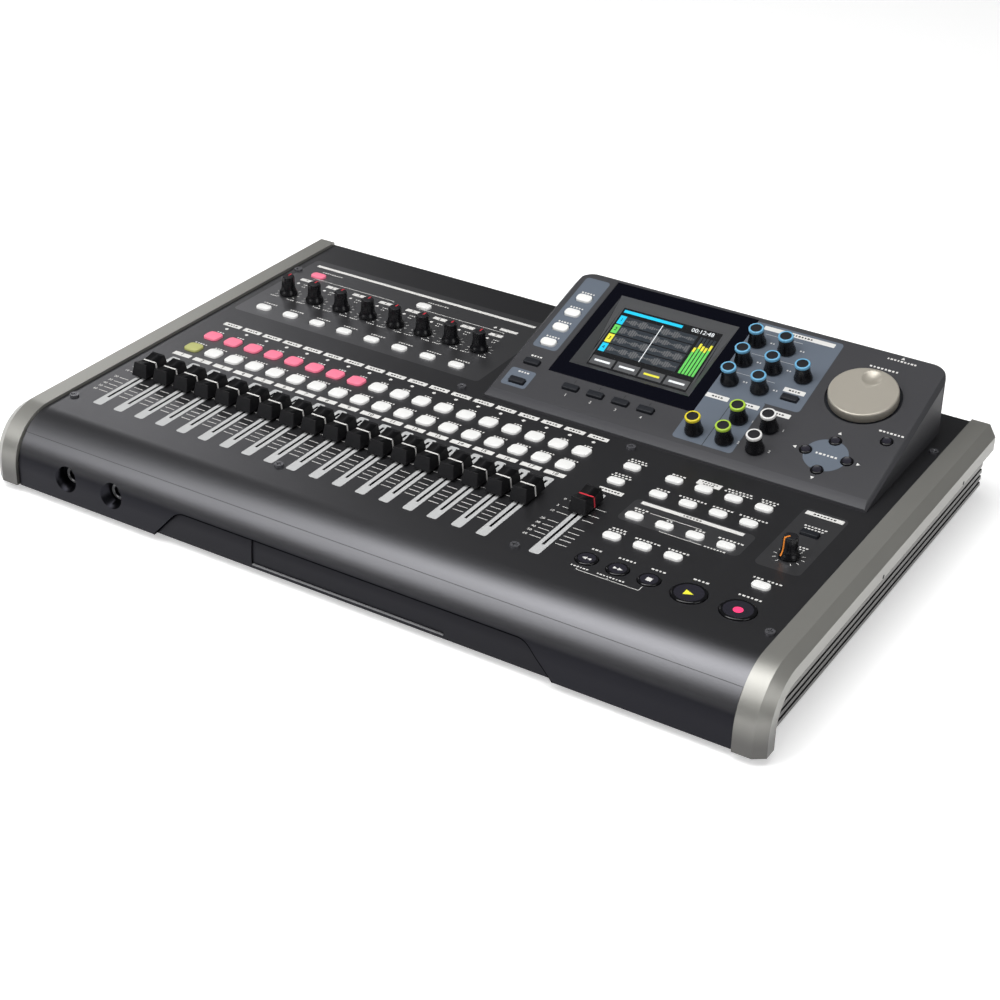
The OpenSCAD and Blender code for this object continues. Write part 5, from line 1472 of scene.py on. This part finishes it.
@dataclass
class Console:
    """The raised console: housing, prints, keys, encoders and jog wheel; words as on the panel."""

    cursor: Point = (216.8, 30.3)
    cursor_r: float = 13.0
    cursor_key: DishKey = DishKey(7.2, 0.3)
    sign_reach: float = 1.55
    sign: Point = (2.2, 1.1)
    jog_play: Point = (244.1, 54.5)
    jog: Point = (216.8, 84.0)
    jog_r: float = 21.25
    jog_h: float = 5.5
    jog_low: float = -1.0
    jog_edge: float = 0.9
    jog_shaft: Point = (3.0, -6.0)
    jog_turns: Floats = (0.3, 0.7, 1.1, 1.4, 1.571)
    jog_rows: Floats = (0.98, 0.94, 0.9, 0.86, 0.82, 0.78, 0.74, 0.7, 0.65, 0.6, 0.55, 0.5, 0.45,
                                   0.4, 0.35, 0.3, 0.2, 0.1)
    dimple_v: float = 12.8
    dimple_r: float = 6.0
    dimple_depth: float = 1.5
    dimple_lip: Point = (1.2, 0.18)
    recess_r: float = 23.6
    recess_sink: float = 0.3
    edge_reach: float = 12.0
    encoder_u: Floats = (136.8, 156.8, 176.8)
    encoder_v: Floats = (18.6, 37.9, 66.4, 85.7, 105.0)
    page: Point = (15.0, 56.1)
    page_pitch: float = 15.45
    page_over: float = 5.6
    soft: Point = (49.3, 23.7)
    soft_pitch: float = 17.43
    number_v: float = 16.9
    number_size: float = 3.0
    soft_line: Point = (28.0, 31.0)
    line_w: float = 0.4
    dark_keys: tuple[Point, ...] = ((15.0, 35.3), (15.0, 16.6), (176.8, 66.4))
    labels: tuple[Triple, ...] = ((128.6, 143.6, 51.2), (148.6, 163.6, 51.4), (168.6, 184.0, 51.6),
                                  (169.8, 183.7, 73.2))
    label_l: float = 3.8
    head_label: Pair = ((158.4, 120.3), (47.6, 3.6))
    band_lines: tuple[Triple, ...] = ((115.0, 138.0, 163.0), (95.2, 138.0, 167.0), (75.7, 137.0, 162.5))
    band_w: float = 0.3
    split_line: Pair = ((146.4, 10.0), (146.4, 47.5))
    band_off: Point = (9.0, 3.2)
    send_off: Point = (8.4, 1.5)
    side_words: Words = (((14.8, 41.4), 4, 1.7), ((14.8, 25.2), 4, 1.7))
    words: Words = (
        ((216.8, 30.3), 6, 2.0), ((217.8, 112.2), 8, 2.0), ((225.0, 122.4), 9, 1.8), ((244.1, 61.6), 7, 1.9))
    rear_sign: Point = (224.9, 125.4)
    base_r: float = 5.8
    top_r: float = 4.8
    height: float = 12.6
    gap: float = 0.6
    shaft_r: float = 3.0
    shaft_low: float = -4.0
    encoders: dict[str, tuple[int, int]] = field(default_factory=lambda: {
        "eq_encoder_1": (0, 4), "eq_encoder_2": (1, 4), "eq_encoder_3": (0, 3), "eq_encoder_4": (1, 3),
        "eq_encoder_5": (2, 3), "eq_encoder_6": (0, 2), "eq_encoder_7": (1, 2), "pan_encoder": (0, 0),
        "send_encoder_1": (1, 1), "send_encoder_2": (1, 0), "master_send_encoder_1": (2, 1),
        "master_send_encoder_2": (2, 0)})
    rings: dict[str, Finish] = field(default_factory=lambda: {
        "eq": RING_BLUE, "pan": RING_YELLOW, "send": RING_GREEN, "master": RING_WHITE})

    def dress(self) -> None:
        """Builds the console's pieces."""
        softened("console_housing", CHASSIS, CONSOLE_PAINT, 0.5, 8.0, pick=self.tone)
        self.prints()
        self.keys()
        for name, (column, row) in self.encoders.items():
            self.encoder(name, (self.encoder_u[column], self.encoder_v[row]), self.rings[name.split("_")[0]])
        self.jog_wheel()

    def tone(self, middle: Vector, normal: Vector) -> Finish:
        """Paints a highlight on the bevelled front edge, making it paler than the face, and paints shade into
        the jog wheel's recess.

        Args:
            middle: Middle of a face.
            normal: Direction that it faces.

        Returns:
            Its finish.
        """
        face = CONSOLE.normal()
        off = middle - CONSOLE.at(*self.jog) / MM
        deep = off.dot(face)
        facing = normal.dot(face)
        # Faces sunk in the jog wheel's recess get the dark key finish: painted shade.
        if deep < -self.recess_sink and (off - face * deep).length < self.recess_r and facing > -0.5:
            return KEY_DARK_AND_RECESS_SHADE
        # The front bevel facing up and forwards gets a paler finish: a painted highlight.
        tilted = abs(normal.x) < 0.3 and 0.5 < facing < 0.985 and middle.y < CONSOLE_Y + self.edge_reach
        return EDGE_HIGHLIGHT_PAINT if tilted else CONSOLE_PAINT

    def rows(self) -> list[Pair]:
        """Gives the places of each page key and of the function key with the same number."""
        (u, v), (a, b) = self.page, self.soft
        return [((u, v + self.page_pitch * k), (a + self.soft_pitch * k, b)) for k in range(4)]

    def prints(self) -> None:
        """Builds the console's prints as one piece."""
        work = Build(CONSOLE)
        for k, ((u, v), (a, _)) in enumerate(self.rows()):
            work.marks((u, v + self.page_over), 5, 1.7)
            work.number(str(k + 1), (a, self.number_v), self.number_size)
            work.line([(a, b) for b in self.soft_line], self.line_w, INK_DARK)
        PanelPrint.write(work, self.side_words)
        for low, high, v in self.labels:
            work.label(((low + high) / 2, v), (high - low, self.label_l), 4, 1.6, 0.4)
        work.label(*self.head_label, 9, r=0.4)
        for v, low, high in self.band_lines:
            work.line([(low, v), (high, v)], self.band_w, INK_GREY)
        work.line(self.split_line, self.line_w, INK_DARK)
        for u in self.encoder_u[:2]:
            for v in self.encoder_v[2:]:
                work.marks((u + self.band_off[0], v + self.band_off[1]), 2, 1.5)
        for u in self.encoder_u[1:]:
            for text, v in zip("21", self.encoder_v):
                work.number(text, (u + self.send_off[0], v + self.send_off[1]), self.number_size)
        size, wide = self.sign
        for way in Way:
            work.ink(arrow(self.beside_cursor(way, self.sign_reach), size, way, wide))
        PanelPrint.write(work, self.words)
        work.ink(arrow(self.rear_sign, size, Way.REAR, wide))
        work.piece("console_print", CHASSIS, "console")

    def beside_cursor(self, way: Way, reach: float) -> Point:
        """Gives the place beside the cursor's middle on one side, by shares of the keys' distance."""
        return around(self.cursor, reach * self.cursor_r, math.radians(way.value))

    def keys(self) -> None:
        """Builds the console's keys."""
        work = Build(CONSOLE)
        for page, soft in self.rows():
            LIT_KEY.add(work, page, LIT_WHITE)
            SOFT_KEY.add(work, soft, KEY_DARK_AND_RECESS_SHADE)
        for spot in self.dark_keys:
            SOFT_KEY.add(work, spot, KEY_DARK_AND_RECESS_SHADE)
        for spot in [*(self.beside_cursor(way, 1.0) for way in Way), self.jog_play]:
            self.cursor_key.add(work, spot)
        work.piece("console_keys_caps", "console_keys", "dark_key", "console_keys")

    def encoder(self, name: str, at: Point, finish: Finish) -> None:
        """Builds one encoder knob with its coloured ring.

        Args:
            name: Node and body of the knob.
            at: Its place on the console.
            finish: Finish of the ring.
        """
        g, b, t, h = self.gap, self.base_r, self.top_r, self.height
        bell = [(self.shaft_r, self.shaft_low), (self.shaft_r, g), (b - 0.3, g), (b, g + 0.3), (b, g + 1.2),
                (b - 0.2, g + 1.9), (b - 0.65, g + 3.2), (t - 0.05, g + 5.0), (t - 0.22, g + 7.0),
                (t - 0.2, h - 2.3), (t - 0.05, h - 1.9)]
        ring = [(t, h - 1.7), (t, h - 0.5), (t - 0.15, h - 0.15), (t - 0.5, h), (t - 1.1, h)]
        top = [(t - 1.2, h - 0.1), (t - 1.3, h - 0.45), (1.8, h - 0.35), (0.0, h - 0.3)]
        tones = [KNOB_BLACK] * len(bell) + [finish] * len(ring) + [KNOB_TOP] * (len(top) - 1)
        work = Build(CONSOLE)
        work.lathe(at, bell + ring + top, tones, 48)
        work.piece(name + "_bell", name, "knob", name)

    def jog_wheel(self) -> None:
        """Builds the jog wheel with its finger dimple."""
        work = Build(CONSOLE)
        r, h, low, edge = self.jog_r, self.jog_h, self.jog_low, self.jog_edge
        rim = [self.jog_shaft, (self.jog_shaft[0], low), (r - 0.4, low), (r, low + 0.4), (r, h - edge)]
        rim += [(r - edge * (1 - math.cos(a)), h - edge * (1 - math.sin(a))) for a in self.jog_turns]
        rim += [((r - edge) * s, h) for s in self.jog_rows] + [(0.0, h)]
        work.lathe(self.jog, rim, CHAMPAGNE, 128)
        spot = CONSOLE.at(self.jog[0], self.jog[1] + self.dimple_v, h)
        up = CONSOLE.normal()
        wide, rise = self.dimple_lip
        for k, vert in enumerate(work.verts):
            off = vert - spot
            high = off.dot(up)
            flat = (off - up * high).length / MM
            if abs(high) > 1e-6 or flat >= self.dimple_r + wide:
                continue
            if flat < self.dimple_r:
                drop = self.dimple_depth * (1 - (flat / self.dimple_r) ** 2)
            else:
                drop = -rise * math.sin((flat - self.dimple_r) / wide * math.pi)
            work.verts[k] = vert - up * drop * MM
        work.piece("jog_wheel_turned", "jog_wheel", "jog", "jog_wheel", sharp=50.0)


class Layer(Enum):
    """Height of a layer of the screen's picture."""

    BASE = 0.06
    FILL = 0.12
    FIGURE = 0.18
    CURSOR = 0.2


@dataclass
class Display:
    """The display's gloss frame, its window and a generic picture."""

    picture: Point = (70.0, 52.5)
    picture_h: Point = (-0.3, 0.04)
    window: Point = (83.8, 69.0)
    title: Floats = (-33.6, 22.2, 8.0, 24.6)
    counter: tuple[Point, float] = ((22.4, 23.2), 4.6)
    lane_x: Triple = (-33.6, -29.4, 21.0)
    lane_y: float = 15.6
    lane_pitch: float = 8.4
    lane_half: float = 3.7
    lane_size: float = 4.0
    waves: int = 32
    wave_x: Point = (-28.2, -27.1)
    wave_pitch: float = 1.52
    wave_tall: Point = (0.4, 2.7)
    play_line: Floats = (-4.4, -13.6, -3.9, 20.0)
    meters: int = 5
    meter_x: float = 23.0
    meter_w: float = 1.6
    meter_pitch: float = 2.3
    meter_y: Point = (-13.3, 19.3)
    meter_tall: Point = (14.0, 11.0)
    meter_peak: float = 1.2
    boxes: int = 4
    box_x: float = -26.1
    box_pitch: float = 17.43
    box: Triple = (7.9, -24.8, -17.6)
    box_bar: Triple = (5.4, -22.0, -20.4)
    chosen_box: int = 2

    def dress(self) -> None:
        """Builds the frame and the picture."""
        softened("display_unit", CHASSIS, GLOSS_BLACK, 0.3, 20.0, pick=self.tone, sharp=5.0)
        work = Build(SCREEN)
        w, l = self.picture
        work.prism(block((-w / 2, -l / 2), (w / 2, l / 2)), *self.picture_h, LCD_DARK)
        self.tracks(work)
        self.levels(work)
        work.piece("display_picture", CHASSIS, "display")

    def tone(self, middle: Vector, normal: Vector) -> Finish:
        """Paints the window's sloping walls grey and the screen dark.

        Args:
            middle: Middle of a face.
            normal: Direction that it faces.

        Returns:
            Its finish.
        """
        off = middle - CONSOLE.at(*PICTURE_AT) / MM
        along = off.dot(CONSOLE.axes().col[1])
        inside = abs(off.x) < self.window[0] / 2 and abs(along) < self.window[1] / 2
        return WELL_GREY if inside and 0.1 < normal.dot(CONSOLE.normal()) < 0.9995 else GLOSS_BLACK

    @staticmethod
    def bar(work: Build, box: Sequence[float], finish: Finish, layer: Layer = Layer.BASE) -> None:
        """Adds a flat rectangle to the picture."""
        x0, y0, x1, y1 = box
        work.ink(block((x0, y0), (x1, y1)), finish, layer.value)

    def tracks(self, work: Build) -> None:
        """Adds the title, the counter, the track lanes and the play line.

        Args:
            work: Piece to add to.
        """
        self.bar(work, self.title, LCD_CYAN)
        at, size = self.counter
        work.number("00:12:48", at, size, LCD_WHITE, Layer.BASE.value)
        start, head, end = self.lane_x
        least, swing = self.wave_tall
        for lane, tone in enumerate((LCD_CYAN, LCD_GREEN, LCD_YELLOW, LCD_CYAN)):
            y = self.lane_y - self.lane_pitch * lane
            low, high = y - self.lane_half, y + self.lane_half
            self.bar(work, (start, low, end, high), LCD_DEEP)
            self.bar(work, (start, low, head, high), tone, Layer.FILL)
            work.number(str(lane + 1), ((start + head) / 2, y), self.lane_size, LCD_DARK, Layer.FIGURE.value)
            for k in range(self.waves):
                beat = math.sin(0.61 * k + 1.3 * lane) * math.sin(0.23 * k + 0.8 * lane)
                tall = least + swing * abs(beat)
                x0, x1 = (x + self.wave_pitch * k for x in self.wave_x)
                self.bar(work, (x0, y - tall, x1, y + tall), LCD_GREY, Layer.FILL)
        self.bar(work, self.play_line, LCD_WHITE, Layer.CURSOR)

    def levels(self, work: Build) -> None:
        """Adds the meters and the boxes over the function keys.

        Args:
            work: Piece to add to.
        """
        low, high = self.meter_y
        least, swing = self.meter_tall
        for k in range(self.meters):
            x0 = self.meter_x + self.meter_pitch * k
            x1 = x0 + self.meter_w
            tall = least + swing * abs(math.sin(1.7 * k + 0.5))
            self.bar(work, (x0, low, x1, high), LCD_DEEP)
            self.bar(work, (x0, low, x1, low + tall), LCD_GREEN, Layer.FILL)
            self.bar(work, (x0, low + tall, x1, low + tall * self.meter_peak), LCD_YELLOW, Layer.FILL)
        for k in range(self.boxes):
            x = self.box_x + self.box_pitch * k
            tone = LCD_YELLOW if k == self.chosen_box else LCD_WHITE
            for (half, low, high), finish, layer in ((self.box, LCD_BOX, Layer.BASE),
                                                     (self.box_bar, tone, Layer.FILL)):
                self.bar(work, (x - half, low, x + half, high), finish, layer)


@dataclass
class RearSockets:
    """Sockets in the rear wall and the front recesses, with nuts and rings, and the standby button."""

    combo_x: float = -215.48
    combo_pitch: float = 27.0
    combos: int = 8
    combo_ring: Triple = (19.4, 21.6, 0.5)
    combo_lift: float = 0.25
    tab_size: Triple = (4.6, 2.0, 0.5)
    tab_b: float = 10.6
    tab_h: Point = (-0.3, 0.9)
    tab_edge: float = 0.25
    combo_number: Point = (16.4, 4.4)
    line_x: float = 2.02
    line_pitch: float = 17.0
    lines: int = 6
    line_margin: float = 8.0
    line_number: Point = (12.4, 3.6)
    data_x: Floats = (108.02, 128.02)
    data_ring: Triple = (12.6, 13.8, 0.5)
    data_lift: float = 0.2
    front_x: Floats = (-201.28, -166.28)
    front_ring: Triple = (7.2, 10.4, 0.9)
    face_h: float = 0.8
    recess_depth: float = 8.0
    ring_soft: float = 0.15
    ring_steps: int = 48

    def dress(self) -> None:
        """Builds the sockets, their trims and the button."""
        softened("sockets", CHASSIS, SOCKET_BLACK, pick=self.tone)
        softened("standby_button", "standby_button", KEY_DARK_AND_RECESS_SHADE)
        self.rear_trim()
        self.front_trim()

    def tone(self, middle: Vector, normal: Vector) -> Finish:
        """Makes the nuts and bushes of the line jacks bright.

        Args:
            middle: Middle of a face.
            normal: Direction that it faces; not used.

        Returns:
            Its finish.
        """
        last = self.line_x + (self.lines - 1) * self.line_pitch
        near = self.line_x - self.line_margin < middle.x < last + self.line_margin
        return STEEL if near and middle.y > REAR_Y + 0.1 else SOCKET_BLACK

    def ring(self, work: Build, at: Point, sizes: Triple, top: float, finish: Finish) -> None:
        """Adds a flat ring with soft edges.

        Args:
            work: Piece to add to.
            at: Middle of the ring.
            sizes: Inner diameter, outer diameter and height.
            top: Height of its upper face.
            finish: Its finish.
        """
        inner, outer, low = sizes[0] / 2, sizes[1] / 2, top - sizes[2]
        soft, steps = self.ring_soft, self.ring_steps
        rim = [(inner, low), (outer, low), (outer, top - soft), (outer - soft, top), (inner + soft, top),
               (inner, top - soft)]
        rows = [work.add([(*around(at, r, a), h) for a in turns(steps)]) for r, h in rim]
        for lower, upper in zip(rows, rows[1:] + rows[:1]):
            for k in range(steps):
                j = (k + 1) % steps
                work.face((lower[k], lower[j], upper[j], upper[k]), work.tone(finish))

    def rear_trim(self) -> None:
        """Builds rings, latch tabs and numbers on the rear wall."""
        work = Build(REAR)
        low, high = (self.face_h + h for h in self.tab_h)
        b, size = self.combo_number
        for j in range(self.combos):
            a = -(self.combo_x + j * self.combo_pitch)
            self.ring(work, (a, 0.0), self.combo_ring, self.face_h + self.combo_lift, POT_STEEL)
            work.prism(rounded((a, self.tab_b), *self.tab_size), low, high, STEEL, self.tab_edge)
            work.number(str(j + 1), (a, b), size)
        b, size = self.line_number
        for k in range(self.lines):
            work.number(str(k + 1), (-(self.line_x + k * self.line_pitch), b), size)
        for x in self.data_x:
            self.ring(work, (-x, 0.0), self.data_ring, self.face_h + self.data_lift, POT_STEEL)
        work.piece("rear_trim", CHASSIS, "socket")

    def front_trim(self) -> None:
        """Builds a bright bush ring on the floor of each front recess."""
        work = Build(FRONT)
        for x in self.front_x:
            self.ring(work, (x, 0.0), self.front_ring, self.face_h - self.recess_depth, STEEL)
        work.piece("front_trim", CHASSIS, "socket")


WHITE = (1.0, 1.0, 1.0, 1.0)


@dataclass(frozen=True)
class Softbox:
    """A soft light.

    Attributes:
        name: Name of the light.
        at: Its place in metres.
        to: Point it faces.
        size: Width and height of its face.
        power: Power in watts.
        swing: Turn about the upright axis in degrees.
    """

    name: str
    at: Triple
    to: Triple
    size: Point
    power: float
    swing: float = 0.0

    def hang(self, scene: bpy.types.Scene) -> None:
        """Hangs the light.

        Args:
            scene: The scene.
        """
        data = bpy.data.lights.new(self.name, "AREA")
        data.shape, data.energy = "RECTANGLE", self.power
        data.size, data.size_y = self.size
        made = bpy.data.objects.new(self.name, data)
        made.location = self.at
        face = (Vector(self.to) - Vector(self.at)).to_track_quat("-Z", "Y").to_matrix()
        made.rotation_euler = (Matrix.Rotation(math.radians(self.swing), 3, "Z") @ face).to_euler()
        scene.collection.objects.link(made)


@dataclass
class Studio:
    """Camera, floor and soft light; rays are kinds of ray with the strength that each one meets."""

    eye: Triple = (567.5, FRONT_Y - 780.113, 637.5)
    right: Triple = (0.8542, 0.5193, 0.0256)
    down: Triple = (0.2626, -0.3884, -0.8833)
    ahead: Triple = (-0.4487, 0.7612, -0.4682)
    lens: float = 74.41
    sensor: float = 36.0
    clip: Point = (0.05, 100.0)
    shift: Point = (-0.0155, -0.088)
    floor_half: float = 6.0
    floor_rgba: Floats = (0.86, 0.86, 0.86, 1.0)
    floor_rough: float = 0.9
    floor_spec: float = 0.1
    floor_rays: Rays = (
        ("Is Camera Ray", 0.44), ("Is Glossy Ray", 0.44), ("Is Transmission Ray", 0.44))
    sky_rays: Rays = (
        ("Is Camera Ray", 1.0), ("Is Transmission Ray", 1.0), ("Is Diffuse Ray", 0.25),
        ("Is Glossy Ray", 0.05))
    lights: tuple[Softbox, ...] = (
        Softbox("overhead", (-1.1, -1.72, 1.7), (-1.1, -1.72, 0.0), (4.8, 1.5), 65.0, 49.0),
        Softbox("booster", (-0.43, -0.6, 1.69), (-0.43, -0.6, 0.0), (1.0, 0.6), 4.2, 49.0),
        Softbox("rear_left", (-2.45, 2.1, 1.7), (-2.45, 2.1, 0.0), (1.0, 0.9), 8.0),
        Softbox("right", (2.2, -0.5, 1.1), (0.1, 0.0, 0.0), (1.4, 1.0), 8.0))

    def dress(self) -> None:
        """Builds the studio."""
        scene = bpy.context.scene
        scene.view_settings.view_transform = "Standard"
        self.camera(scene)
        self.floor(scene)
        self.sky(scene)
        for light in self.lights:
            light.hang(scene)

    def camera(self, scene: bpy.types.Scene) -> None:
        """Sets the camera to the photograph's angle.

        Args:
            scene: The scene.
        """
        data = bpy.data.cameras.new("camera")
        data.lens, data.sensor_width, data.sensor_fit = self.lens, self.sensor, "HORIZONTAL"
        data.shift_x, data.shift_y = self.shift
        data.clip_start, data.clip_end = self.clip
        made = bpy.data.objects.new("camera", data)
        turn = Matrix((self.right, [-c for c in self.down], [-c for c in self.ahead])).transposed()
        made.matrix_world = Matrix.Translation(Vector(self.eye) * MM) @ turn.to_4x4()
        scene.collection.objects.link(made)
        scene.camera = made

    def floor(self, scene: bpy.types.Scene) -> None:
        """Lays the pale floor.

        Args:
            scene: The scene.
        """
        half = self.floor_half
        mesh = bpy.data.meshes.new("floor")
        mesh.from_pydata([(x, y, 0.0) for x, y in block((-half, -half), (half, half))], [], [(0, 1, 2, 3)])
        made = bpy.data.materials.new("floor")
        made.use_nodes = True
        tree = made.node_tree
        shader = tree.nodes["Principled BSDF"]
        shader.inputs["Roughness"].default_value = self.floor_rough
        shader.inputs["Specular IOR Level"].default_value = self.floor_spec
        shader.inputs["Emission Color"].default_value = WHITE
        shader.inputs["Base Color"].default_value = self.floor_rgba
        self.seen(tree, shader.inputs["Emission Strength"], self.floor_rays)
        mesh.materials.append(made)
        plate = bpy.data.objects.new("floor", mesh)
        scene.collection.objects.link(plate)

    @staticmethod
    def seen(tree: Tree, strength: Socket, rays: Rays) -> None:
        """Sets a light's strength by the kind of ray that meets it.

        Args:
            tree: Node tree of the floor or the world.
            strength: Socket of the strength.
            rays: Kinds of ray, each with its strength.
        """
        path = tree.nodes.new("ShaderNodeLightPath")
        total = None
        for ray, level in rays:
            step = tree.nodes.new("ShaderNodeMath")
            step.operation = "MULTIPLY_ADD"
            step.inputs[1].default_value = level
            step.inputs[2].default_value = 0.0
            tree.links.new(path.outputs[ray], step.inputs[0])
            if total:
                tree.links.new(total, step.inputs[2])
            total = step.outputs[0]
        tree.links.new(total, strength)

    def sky(self, scene: bpy.types.Scene) -> None:
        """Sets a white background that lights only weakly.

        Args:
            scene: The scene.
        """
        world = bpy.data.worlds.new("studio")
        scene.world = world
        world.use_nodes = True
        back = world.node_tree.nodes["Background"]
        back.inputs["Color"].default_value = WHITE
        self.seen(world.node_tree, back.inputs["Strength"], self.sky_rays)


def main() -> None:
    """Builds every sub-assembly and the studio."""
    logging.basicConfig(level=logging.INFO, format="%(name)s: %(message)s")
    for part in (Casing(), PanelPrint(), PanelKeys(), Faders(), Knobs(), Console(), Display(), RearSockets(),
                 Studio()):
        LOG.info("%s", type(part).__name__)
        part.dress()


if __name__ == "__main__":
    main()
